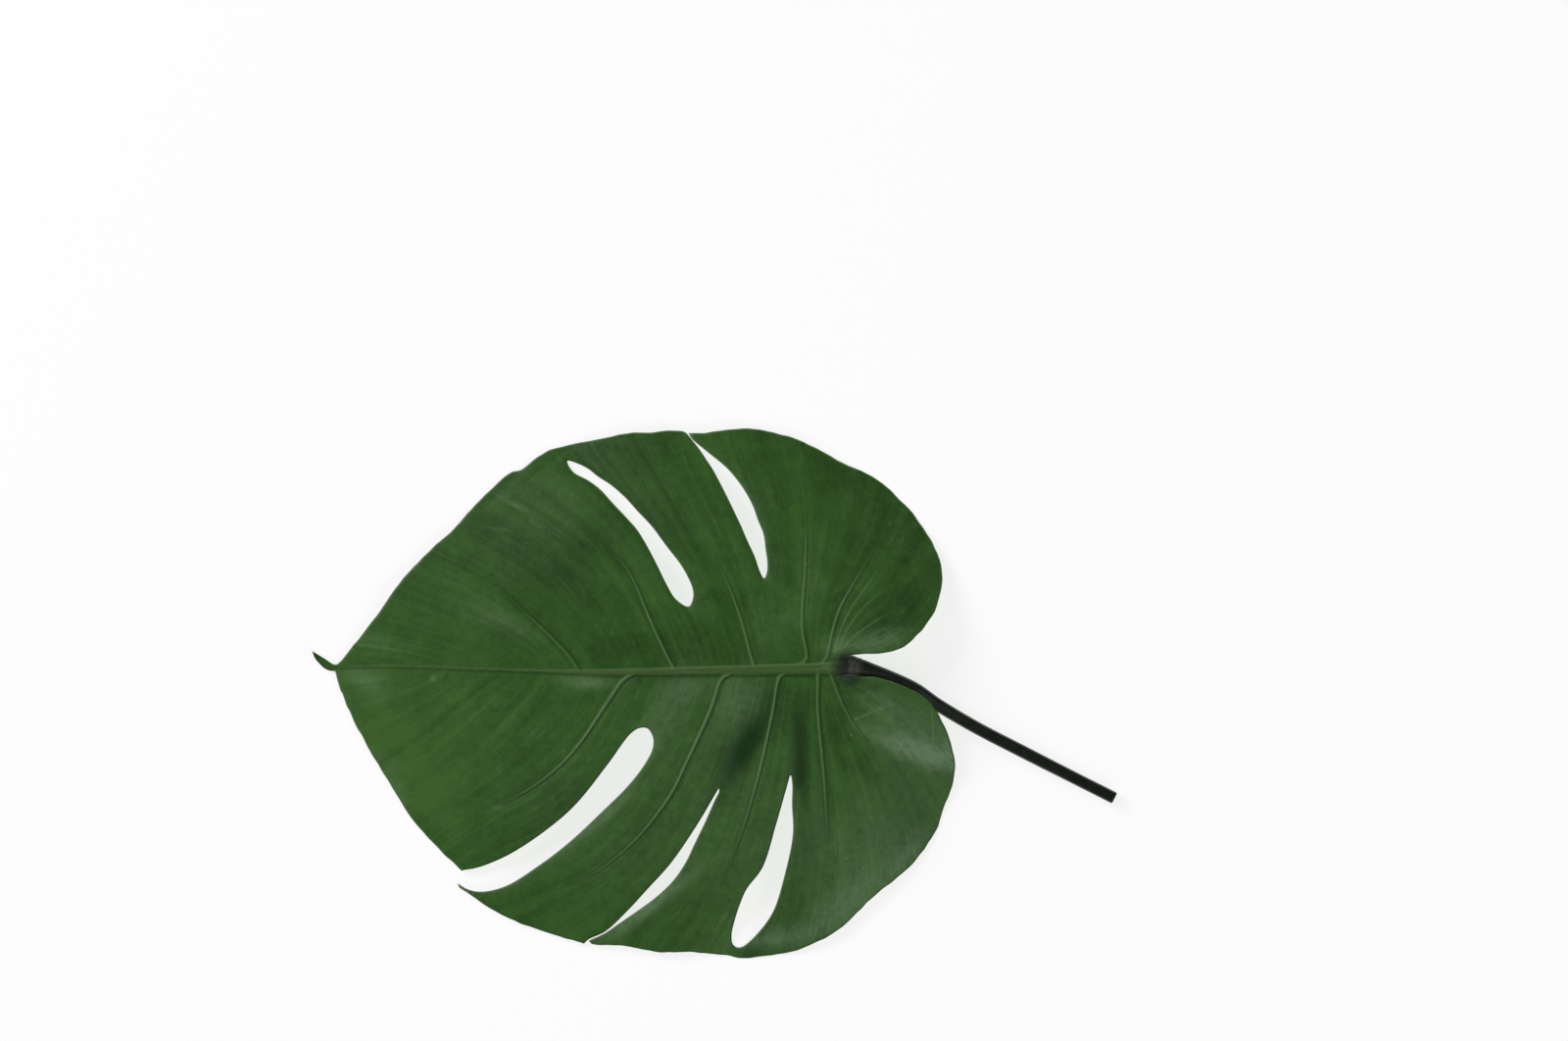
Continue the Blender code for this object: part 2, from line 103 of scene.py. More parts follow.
# Finer form: thin rounded edges, ribs that stand up from their valleys, and a quilted skin.
# Rises, a side rib's crest and the groove's share are again given at the tip and at the root.
EDGE_INSET = 0.34
EDGE_DROP = 0.16
EDGE_DROP_REACH = 0.8
EDGE_THICKNESS = 0.45
EDGE_THICKEN_REACH = 1.6
MIDRIB_RISE = (0.25, 0.9)
MIDRIB_END_DROP = 0.6
MIDRIB_END_REACH = 9.0
MIDRIB_CREST_SHARE = 0.68
MIDRIB_NARROWING = 0.42
MIDRIB_NARROWS_FROM, MIDRIB_NARROWS_TO = 0.46, 0.6
MIDRIB_ROWS = (0.0, 0.3, 0.6, 0.85, 1.0, 1.2, 1.5)
CREST_ROUNDNESS = 0.6
MIDRIB_FADE = 0.12
SIDE_RIB_RISE = (0.08, 0.5)
SIDE_RIB_CREST = (0.5, 0.9)
SIDE_RIB_ROWS = (0.0, 0.3, 0.6, 0.95, 1.5, 2.3)
LINE_HALF_WIDTH = 0.72
CREST_END = 0.95
CREST_FADE = 0.5
FINE_RIB_RISE = 0.16
FINE_RIB_STRENGTH = 0.6
FINE_RIB_FADE = 0.25
FINE_RIB_CREST = 0.5
FINE_RIB_ROWS = (0.0, 0.35, 0.7)
GROOVE_DEPTH = 0.4
GROOVE_OFFSET = 1.35
GROOVE_HALF_WIDTH = 0.85
GROOVE_OUTER_SHARE = 0.15
GROOVE_OUTER_GROWTH = 0.6
GROOVE_NARROWING = 0.7
GROOVE_FADE = 0.2
MIDRIB_GROOVE_OFFSET = 0.4
MIDRIB_GROOVE_SHARE = (0.4, 1.0)
QUILT_EDGE_REACH = 6.0
WAVELET = 0.6
WAVELET_LENGTH = 4.4
STILL_REACH = 16.0
SLIT_STILL_REACH = 3.0

# The quilt along the veins: rise, scale across, scale along, slice of the noise. Its broad part, by
# place: rise, scale, slice. The two halves and the wavelets take other parts of the noise as well.
QUILT_VEINS = [(0.12, 0.24, 0.035, 0.0), (0.06, 0.552, 0.07, 7.0)]
QUILT_BROAD = (0.25, 0.05, 2.0)
UPPER_HALF_OFFSET = 500.0
WAVELET_SLICE = 3.7

# The outline, stroke by stroke from the point of the tail, anticlockwise as seen from above.
# Each stroke is a smooth curve that starts where the stroke before it ends.
TAIL_POINT = (-227.2, 6.6)
TAIL_BELOW = [(-226, 3.4), (-223.9, 0.8), (-222, -1), (-220, -1.9), (-217.4, -2.2)]
MARGIN_BELOW_TIP = [
    (-216.3, -6.7), (-212.5, -17.6), (-205, -32.3), (-194.9, -49.6), (-184, -66.8), (-176.8, -74.8),
    (-168.4, -83.2), (-163, -88.2),
]
SLIT_1_TIP_SIDE = [
    (-154.6, -86.1), (-142, -80.6), (-125.2, -69.3), (-113.4, -58.8), (-100, -42), (-89.5, -28.1),
    (-85.6, -26), (-82.7, -26.3), (-81, -28.6), (-80.2, -31.8), (-80.9, -35.8), (-84, -41.6),
    (-90.7, -50.4), (-103.3, -63), (-116.8, -75.6), (-129.4, -85.3), (-144.1, -94.5), (-154.6, -96.9),
    (-160.5, -95.8), (-164.6, -93.4),
]
MARGIN_LOBE_2 = [
    (-164.2, -94.9), (-160.8, -97.2), (-157.1, -100), (-150.4, -104.6), (-137.8, -110.9),
    (-126.4, -114.7), (-116.8, -117.7), (-110.4, -119.5),
]
SLIT_2 = [
    (-108.6, -117.6), (-101.2, -114), (-91.6, -105), (-83.2, -95.8), (-72.7, -84), (-61.3, -67.2),
    (-55.1, -56.7), (-53, -53.1), (-52.2, -51.8), (-52.2, -53.2), (-54, -56.9), (-58.2, -66.4),
    (-63, -76.4), (-66.4, -83.6), (-71.8, -91.6), (-79, -98.7), (-87.4, -105), (-94.6, -110),
    (-101.2, -114.6), (-108.4, -118),
]
MARGIN_LOBE_3 = [
    (-107.2, -119.4), (-93.7, -120.5), (-78.1, -123.1), (-66.4, -123.1), (-49.6, -124.7), (-41.2, -126),
    (-30.7, -124.7), (-19.3, -122.6), (-7.6, -117.6), (0.8, -112.1), (13.4, -100), (30.2, -86.1),
    (38.5, -75.5), (41.9, -69.6), (44.5, -60.9), (47.9, -52.1), (49.5, -42), (47, -31.5), (43, -22),
    (39, -15.6), (34.4, -11.6), (26, -7.6), (19.7, -5.2), (13.4, -4), (5, -3.9), (0, -3.8),
]
NOTCH = [(0, 4.6)]
MARGIN_LOBE_4 = [
    (3, 4.9), (9.2, 5.5), (19.7, 6), (26.9, 8.4), (32.3, 13), (37.8, 19.3), (40.9, 24.8), (43.3, 33.6),
    (43.5, 42), (40.7, 51.2), (38.2, 55.8), (34.4, 61.3), (30.2, 67.2), (26, 71.4), (18.9, 78.1),
    (11.3, 83.2), (0.8, 87.8), (-7.6, 92.4), (-16, 96.6), (-24.4, 99.5), (-39, 102.4), (-51.7, 101.6),
    (-58, 100.6), (-65.6, 100.2),
]
SLIT_3 = [
    (-63.9, 97.6), (-58, 92.6), (-49.6, 85.7), (-45.4, 81.1), (-41.2, 75.2), (-37.8, 68.9), (-35.7, 63),
    (-33.2, 56.7), (-32.3, 50.4), (-31.5, 44.1), (-31.8, 40.2), (-32.9, 37.9), (-34.5, 40.4),
    (-37, 47.5), (-40.3, 54.6), (-42.4, 59.6), (-45.4, 65.9), (-48.7, 72.7), (-54.6, 84), (-57.6, 88.6),
    (-60.4, 92.8), (-64.8, 98.4),
]
MARGIN_LOBE_5 = [
    (-67.4, 101.1), (-83.2, 100.8), (-91.6, 100.4), (-106.3, 97.4), (-118.9, 94.9), (-125.2, 93.2),
    (-131.5, 89.5), (-137.8, 84.8), (-142, 83.6), (-150.4, 76.4), (-158.8, 68), (-166.7, 59.2),
    (-176.8, 50), (-189, 37), (-200.8, 20.6), (-210, 8.8), (-216.2, 1),
]
TAIL_ABOVE = [(-217.8, 0.7), (-221.8, 3.2), TAIL_POINT]
STROKES = [TAIL_BELOW, MARGIN_BELOW_TIP, SLIT_1_TIP_SIDE, MARGIN_LOBE_2, SLIT_2, MARGIN_LOBE_3,
           NOTCH, MARGIN_LOBE_4, SLIT_3, MARGIN_LOBE_5, TAIL_ABOVE]
SLITS = [SLIT_1_TIP_SIDE, SLIT_2, SLIT_3]

# The two closed holes, each one smooth loop
HOLE_BELOW = [
    (-21.6, -46.2), (-23.3, -51.7), (-27.7, -67.2), (-33.6, -86.1), (-40.3, -95.3), (-42.9, -101),
    (-45.8, -110), (-46.9, -115.5), (-46.4, -119.6), (-44.3, -121), (-41.8, -120.4), (-34.9, -113.8),
    (-29, -105), (-24.4, -90.3), (-20.6, -71.4), (-21, -58.8), (-20.9, -50),
]
HOLE_ABOVE = [
    (-65.1, 25.9), (-63.2, 30.2), (-63.8, 34.4), (-68, 42.8), (-74.8, 51.7), (-81.1, 60.1),
    (-87.4, 66.8), (-92.8, 72.7), (-99.1, 78.1), (-104.4, 81.5), (-108.6, 84.8), (-113, 87),
    (-117.6, 88.2), (-115.1, 83.6), (-108.4, 79.8), (-103.3, 76), (-98.3, 70.6), (-91.1, 63),
    (-87.4, 58.8), (-83.2, 52.1), (-78.1, 42.4), (-74.8, 35.7), (-70.6, 29),
]
HOLES = [HOLE_BELOW, HOLE_ABOVE]

# The midrib, from the stem to the tip
MIDRIB = [
    (0, 0), (-10, -0.5), (-24.4, -0.8), (-39, -1.1), (-66.4, -1.6), (-91.6, -2.1), (-108, -2.3),
    (-125.2, -1.9), (-158.8, -1), (-192.4, 0), (-215, -0.4),
]
# The side ribs, from the midrib out: they start inside it, and most of them hook into it
SIDE_RIBS = [
    [(-88, -2.7), (-91.4, -4), (-94.2, -6.4), (-100, -15), (-112.6, -33.6), (-121, -42.8),
     (-131.5, -51.2), (-151.6, -62.6)],
    [(-47, -2.6), (-50.4, -4), (-52.2, -6.6), (-55.4, -16.8), (-66.4, -41.2), (-73.5, -55.4),
     (-89.5, -75.6), (-108.4, -90.3), (-121, -95.3)],
    [(-24, -2.4), (-26.4, -3.9), (-27.4, -7), (-29.2, -18), (-34.9, -44.1), (-41.2, -66.4),
     (-49.6, -90.3)],
    [(-9.9, -0.8), (-10, -4), (-10.1, -16.8), (-7.1, -50.4), (-5.9, -71.4), (-5.5, -84)],
    [(-5.4, -1.2), (-4.2, -4.2), (1.3, -17.6), (9.2, -30.2), (15.5, -37.8)],
    [(-112, -2), (-117.6, 6), (-133.6, 21.8), (-147, 33.6)],
    [(-71, -1.4), (-74, 3.8), (-81.1, 18.9), (-91.6, 42), (-102.1, 52.5)],
    [(-36.8, -0.6), (-38.4, 3.8), (-42.8, 20.2), (-49.6, 38.6), (-54.6, 48.3)],
    [(-19.6, 1), (-16.2, 1.9), (-14.8, 4.2), (-16.8, 16.8), (-15.1, 46.2), (-15.1, 69.3)],
    [(-11.6, 1), (-7.8, 1.9), (-6.3, 4.4), (-3.6, 16), (-0.6, 25), (9.2, 42), (17.2, 55.4)],
]
# How strong each rib's crest is, and the crease beside it
SIDE_RIB_STRENGTH = [
    (1, 1), (1, 1), (1, 0.9), (0.8, 0.8), (0.45, 0.6), (0.3, 0.9), (0.8, 0.7), (0.7, 0.7), (0.75, 0.7),
    (0.7, 0.7),
]

# Fine ribs that fan out beside the notch and show only on the upper face
FINE_RIBS = [
    [(0.4, 7.2), (4.2, 11.8), (9.2, 16), (15.5, 20.2), (21, 23.4)],
    [(-1.2, 7), (1.8, 14.6), (7, 22.4), (13.6, 29.2), (19.4, 33.6)],
    [(-2.6, 7), (-0.2, 15.8), (4.6, 25.6), (10.4, 34.2), (16.6, 41.6)],
    [(5.9, -22.3), (10.6, -20.4), (16.4, -18), (21.8, -16.4)],
    [(38.4, -16), (39.4, -26), (39.6, -38)],
]

# The way the blade's fine veins run: guides from the midrib out, in order along each half
GUIDES_BELOW = [
    [(-175, -1), (-193, -6), (-214, -9)],
    [(-146, -2), (-166, -17), (-184, -32), (-200, -42)],
    [(-120, -3), (-136, -24), (-154, -43), (-182, -66)],
    [(-92.8, -3.4), (-100, -14.3), (-112.6, -33.6), (-131.5, -51.2), (-151.6, -62.6), (-172, -76)],
    [(-50.8, -4.2), (-55.4, -16.8), (-66.4, -41.2), (-89.5, -75.6), (-108.4, -90.3), (-146, -106)],
    [(-26.5, -4.2), (-28.6, -16.8), (-34.9, -44.1), (-49.6, -90.3), (-70, -122)],
    [(-9.7, -3.4), (-10.1, -16.8), (-7.1, -50.4), (-5.5, -84), (-10, -118)],
    [(-3.4, -5), (1.3, -17.6), (9.2, -30.2), (22, -54), (28, -88)],
    [(-1, -4.6), (10, -16), (27, -32), (46, -56)],
    [(2, -3.6), (15, -8), (30, -14), (49, -36)],
]
GUIDES_ABOVE = [
    [(3, 5.4), (18, 9), (32, 17), (43, 32)],
    [(0.8, 7.6), (9.2, 16), (19.7, 22.7), (42, 48)],
    [(-6.3, 4), (-1.3, 24.4), (9.2, 42), (17.2, 55.4), (24, 73)],
    [(-14.7, 3.4), (-16.8, 16.8), (-15.1, 46.2), (-15.1, 69.3), (-22, 99)],
    [(-37.8, 1.7), (-42.8, 20.2), (-54.6, 48.3), (-68, 72), (-84, 100)],
    [(-72.2, 0.8), (-81.1, 18.9), (-102.1, 52.5), (-120, 68), (-142, 83)],
    [(-112, -2), (-117.6, 6), (-133.6, 21.8), (-150, 33), (-178, 46)],
    [(-124, -1.8), (-136, 8), (-160, 19), (-192, 31)],
    [(-146, -1.4), (-160, 5), (-180, 11), (-205, 16)],
    [(-172, -0.6), (-190, 3.6), (-212, 6)],
]

# Heights of the blade's upper face above the table: x, y, z
HEIGHT_KNOTS = [
    (0, 0, 24.6), (-30, -0.5, 24.4), (-60, -1.4, 22.8), (-92, -2, 20), (-125, -2, 16), (-159, -1, 11),
    (-190, 0, 5.8), (-216, 0, 2.2), (-222, 1, 2.6), (-227, 6.5, 5), (-20, -45, 22.6), (-60, -38, 22.2),
    (-100, -36, 18.6), (-140, -34, 13.2), (-172, -32, 8), (10, -32, 22), (20, -68, 14),
    (-14, -85, 13.6), (-46, -84, 14.8), (-84, -66, 16.2), (-122, -72, 10.2), (-152, -66, 8),
    (-205, -32, 3.4), (-184, -66.8, 2.2), (-165, -86, 3.4), (-162, -95, 4.4), (-130, -111, 2.6),
    (-109, -119, 3.4), (-94, -119, 4.2), (-70, -122, 4.6), (-42, -124, 0.8), (-8, -116, 4.4),
    (14, -98, 4.8), (32, -83, 3), (43, -60, 2.4), (49, -42, 6.6), (46, -30, 11.6), (39, -16, 18.4),
    (30, -9.5, 22.2), (19.7, -5, 24), (8, -3.8, 24.6), (-20, 45, 21.8), (-60, 40, 20.8),
    (-100, 36, 17.2), (-140, 34, 12.4), (-175, 28, 7.6), (10, 38, 20.6), (20, 20, 22.6), (-12, 74, 14),
    (-44, 74, 14.6), (-84, 74, 12), (-210, 8.8, 2.8), (-189, 37, 4.2), (-166, 59, 2.8),
    (-142, 82, -0.4), (-119, 93, 1.6), (-92, 99, 4), (-67, 99, 5.4), (-39, 101, 3.6), (-8, 91, 5.6),
    (19, 75, -0.8), (38, 54, 4.4), (43, 38, 8.6), (38, 20, 18), (28, 9.5, 24), (19.7, 6.4, 25.6),
    (9, 5.5, 25.6),
]

# Folds that lead from the midrib to the inner ends of two slits: the blade drops to their +X side
FOLDS = [
    ((-42.0, -14.0), (-50.5, -51.0)),
    ((-18.5, -12.0), (-21.5, -46.0)),
]

# Soft oval patches: x, y, long reach, short reach, turn in degrees from +X, strength.
# Painted sheen: where the skin is drawn greyish and pale, standing in for light caught on it
PAINTED_SHEEN = [
    (38.5, -38, 13, 4.8, -20, 1.25), (21, -32, 14, 4, -25, 0.6), (30, -27, 16, 8, -20, 0.3),
    (46, -33, 7, 2.4, -70, 0.4), (18, -16, 12, 6, -20, 0.35), (-108, -6.2, 11, 3.2, -4, 0.6),
    (-76, -22, 20, 8, 60, 0.35), (-43, -14, 12, 8, 60, 0.4), (-64, -9, 10, 5, 0, 0.3),
    (-205, -6, 9, 4.5, -30, 0.45), (-143, 76, 13, 3, 45, 0.3), (-139, 69, 5, 0.8, -25, 0.5),
    (-131, 61, 4, 0.6, -35, 0.5), (-147, 59, 3.5, 0.7, -10, 0.4), (15, 11, 14, 4.4, 14, 0.54),
    (-2, 9, 5, 5, 0, 0.4), (-112, 94, 16, 2.5, 18, 0.1), (-82, -103, 22, 2.6, 38, 0.8),
    (-104, -66, 22, 2.2, 40, 0.45), (-140, -92, 14, 2, 25, 0.2), (-28, -117, 16, 4, 8, 0.5),
    (0, -104, 20, 8, 40, 0.5), (30, -80, 14, 4, 50, 0.4), (1.6, -4.7, 1.8, 0.6, 0, 1),
    (-30, -78, 80, 34, 0, 0.13), (4, 38, 42, 34, 0, 0.05), (-28, 17, 12, 8, 60, 0.12),
    (-52, -40, 32, 22, 0, 0.1), (12, -82, 24, 26, 0, 0.14), (-191, -54, 9, 3.5, -58, 0.35),
    (-175, -4.8, 1.5, 0.9, 30, 0.9), (-147, -60.5, 3.6, 0.8, 22, 0.45),
    (-146, 19.5, 16, 4.5, -20, 0.28), (-203, 12, 9, 4, -20, 0.25), (-196, -40, 10, 3, -30, 0.2),
    (-120, -58, 40, 24, -40, 0.08),
]
# Where the skin is lighter, or with a strength below 0 darker: partly its own colour, partly painted light
# on rolled edges and painted shade in folds, in valleys and beside the midrib
TONE_AND_PAINTED_LIGHT = [
    (-205, -8, 34, 26, 0, 0.7), (-178, -55, 30, 16, -50, 0.7), (-165, -30, 26, 18, 0, 0.3),
    (-150, 22, 12, 7, 20, 0.35), (-92, 7.5, 26, 7, 0, -0.5), (-65, 7, 18, 6, 0, -0.35),
    (-120, -16, 14, 8, -40, -0.3), (-95, 75, 40, 20, -50, -0.45), (-100, 22, 26, 18, -40, -0.4),
    (-150, 60, 14, 6, 45, -0.4), (10, 10, 9, 2, 10, 0.4), (-128, 50, 24, 16, 0, -0.35),
    (20, 26, 18, 9, 30, -0.6), (26, 48, 22, 12, 70, -0.6), (-4, 34, 14, 7, 85, -0.5),
    (6, 52, 12, 8, 60, -0.4), (0, 84, 16, 8, -30, -0.5), (-22, 18, 16, 9, 60, 0.6),
    (-4, 9, 8, 5, 0, 0.4), (-8, -6, 10, 4, 0, 0.3), (-40.5, -34, 23, 6.8, 60, -1.6),
    (-17.2, -33, 18, 3.8, 88, -1.2), (-17, -48, 8, 4, 90, -0.8), (8, -7.5, 10, 4, -15, -0.7),
    (-206, 0.8, 10, 1.5, 0, -1), (-217.4, -0.4, 3, 1.4, 0, -1), (-226, 5.4, 3.6, 2.4, -40, -1.6),
    (13, -46, 12, 3, -30, -0.5), (0, -24, 16, 5, 80, -0.5), (-60, -22, 20, 6, 60, 0.4),
    (-112, -74, 36, 6, 35, 0.4), (-66, -111, 18, 6, 0, 0.25), (6, -98, 30, 10, 40, 0.35),
    (-14, -88, 8, 8, 0, -0.3), (-86, 92, 24, 8, 10, -0.2), (-28, -66, 20, 8, 70, 0.2),
]

# The stem's route and its half width there: x, y, z, radius. It grows out of the midrib's end.
STEM = [
    (-9, -0.4, 24.4, 0.5), (-6.6, -0.3, 23.3, 1.8), (-3.8, -0.1, 22.1, 2.9), (-1.2, 0.25, 21.1, 3.8),
    (1.4, 0.4, 20.8, 4), (4, 0.4, 20.4, 4), (30.2, -8.8, 15.2, 2.9), (41.5, -16.4, 11.7, 2.8),
    (58, -26.2, 7.8, 2.7), (78, -36.6, 5, 2.7), (98, -46.8, 3.6, 2.6), (117.6, -56.7, 3.2, 2.6),
]
STEM_RING_STEP = 0.7
STEM_SIDES = 56
STEM_LEAD = 9.4
KNUCKLE_START = 2.6
KNUCKLE_END = 9.6
KNUCKLE_WIDEN = 0.18
KNUCKLE_WIDEN_REACH = 7.0
WRINKLE_DEPTH = 0.10
WRINKLE_REACH = 6.0
WRINKLE_ALONG = 1.3
WRINKLE_AROUND = 0.9
CHANNEL_DEPTH = 0.14
CHANNEL_GROWTH = 10.0
CHANNEL_HALF_ANGLE = 0.40
RIDGE_RISE = 0.05
RIDGE_ANGLE = 0.75
RIDGE_HALF_ANGLE = 0.22
CUT_SHARE = 0.88


def smooth(points, step, closed=False):
    """Points about a step apart on the centripetal Catmull-Rom curve through these points."""
    given = np.array(points, float)
    before = given[-2] if closed else 2 * given[0] - given[1]
    after = given[1] if closed else 2 * given[-1] - given[-2]
    control = np.vstack([before, given, after])
    found = []
    for p0, p1, p2, p3 in zip(control, control[1:], control[2:], control[3:]):
        t1 = np.linalg.norm((p1 - p0)[:2]) ** 0.5
        t2 = t1 + np.linalg.norm((p2 - p1)[:2]) ** 0.5
        t3 = t2 + np.linalg.norm((p3 - p2)[:2]) ** 0.5
        count = max(1, round(np.linalg.norm((p2 - p1)[:2]) / step))
        for t in t1 + (t2 - t1) * np.arange(count) / count:
            a1 = (t1 - t) / t1 * p0 + t / t1 * p1
            a2 = (t2 - t) / (t2 - t1) * p1 + (t - t1) / (t2 - t1) * p2
            a3 = (t3 - t) / (t3 - t2) * p2 + (t - t2) / (t3 - t2) * p3
            b1 = (t2 - t) / t2 * a1 + t / t2 * a2
            b2 = (t3 - t) / (t3 - t1) * a2 + (t - t1) / (t3 - t1) * a3
            found.append((t2 - t) / (t2 - t1) * b1 + (t - t1) / (t2 - t1) * b2)
    found.append(given[-1])
    return np.array(found)


def unit(vectors):
    """The vectors, each made 1 long."""
    return vectors / np.linalg.norm(vectors, axis=1)[:, None]


def left_of(run):
    """The unit directions to the left of these."""
    return unit(np.column_stack([-run[:, 1], run[:, 0]]))


def facing_left(loop):
    """For each point of a closed loop, the unit direction to the loop's left."""
    return left_of(np.roll(loop, -1, axis=0) - np.roll(loop, 1, axis=0))


def turned(loop, anticlockwise):
    """The loop, reversed if need be, so that it runs the way asked."""
    x, y = loop[:, 0], loop[:, 1]
    area = np.sum(x * np.roll(y, -1) - np.roll(x, -1) * y)
    return loop if (area > 0) == anticlockwise else loop[::-1]


def blade_loops():
    """The outline and the holes, sampled, with the blade to the left of each."""
    outline = []
    start = TAIL_POINT
    for stroke in STROKES:
        outline.extend(smooth([start] + stroke, OUTLINE_STEP)[:-1])
        start = stroke[-1]
    loops = [turned(np.array(outline), True)]
    loops += [turned(smooth(hole + [hole[0]], OUTLINE_STEP, True)[:-1], False) for hole in HOLES]
    return loops


def wavelets(loop, slit_points):
    """The loop with its edge drawn in a little here and there, as a grown edge is."""
    left = facing_left(loop)
    depth = 0.5 + 0.5 * noise_at(loop / WAVELET_LENGTH, WAVELET_SLICE)
    still = np.exp(-np.sum((loop / STILL_REACH) ** 2, axis=1))
    still = np.maximum(still, loop[:, 0] < MIDRIB[-1][0])
    still = np.maximum(still, np.exp(-(nearest(loop, slit_points) / SLIT_STILL_REACH) ** 2))
    return loop + left * (WAVELET * depth * (1.0 - still))[:, None]


def path_distance(points, path):
    """How far each point lies from a path, how far along it (0 to 1), and how far to its left."""
    a = path[:-1]
    run = path[1:] - a
    length = np.linalg.norm(run, axis=1)
    start = np.concatenate([[0.0], np.cumsum(length)])
    best = np.full(len(points), np.inf)
    along = np.zeros(len(points))
    left = np.zeros(len(points))
    for k in range(len(a)):
        offset = points - a[k]
        t = np.clip(offset @ run[k] / length[k] ** 2, 0.0, 1.0)
        gap = offset - t[:, None] * run[k]
        distance = np.hypot(gap[:, 0], gap[:, 1])
        nearer = distance < best
        best[nearer] = distance[nearer]
        along[nearer] = ((start[k] + t * length[k]) / start[-1])[nearer]
        side = run[k, 0] * gap[:, 1] - run[k, 1] * gap[:, 0]
        left[nearer] = (np.sign(side) * distance)[nearer]
    return best, along, left


def nearest(points, others):
    """How far each point lies from the nearest of the others."""
    tree = KDTree(len(others))
    for index, (x, y) in enumerate(others):
        tree.insert((x, y, 0.0), index)
    tree.balance()
    return np.array([tree.find((x, y, 0.0))[2] for x, y in points])


def thin_plate(knots):
    """The smooth height function through the knots: a thin-plate spline."""
    at = np.array(knots, float)
    count = len(at)

    def kernel(r):
        return np.where(r > 0, r * r * np.log(np.maximum(r, TINY)), 0.0)

    flat = np.hstack([np.ones((count, 1)), at[:, :2]])
    system = np.zeros((count + 3, count + 3))
    system[:count, :count] = kernel(np.linalg.norm(at[:, None, :2] - at[None, :, :2], axis=2))
    system[:count, count:] = flat
    system[count:, :count] = flat.T
    weight = np.linalg.solve(system, np.concatenate([at[:, 2], np.zeros(3)]))

    def height(points):
        r = np.linalg.norm(points[:, None, :] - at[None, :, :2], axis=2)
        return kernel(r) @ weight[:count] + weight[count] + points @ weight[count + 1:]

    return height


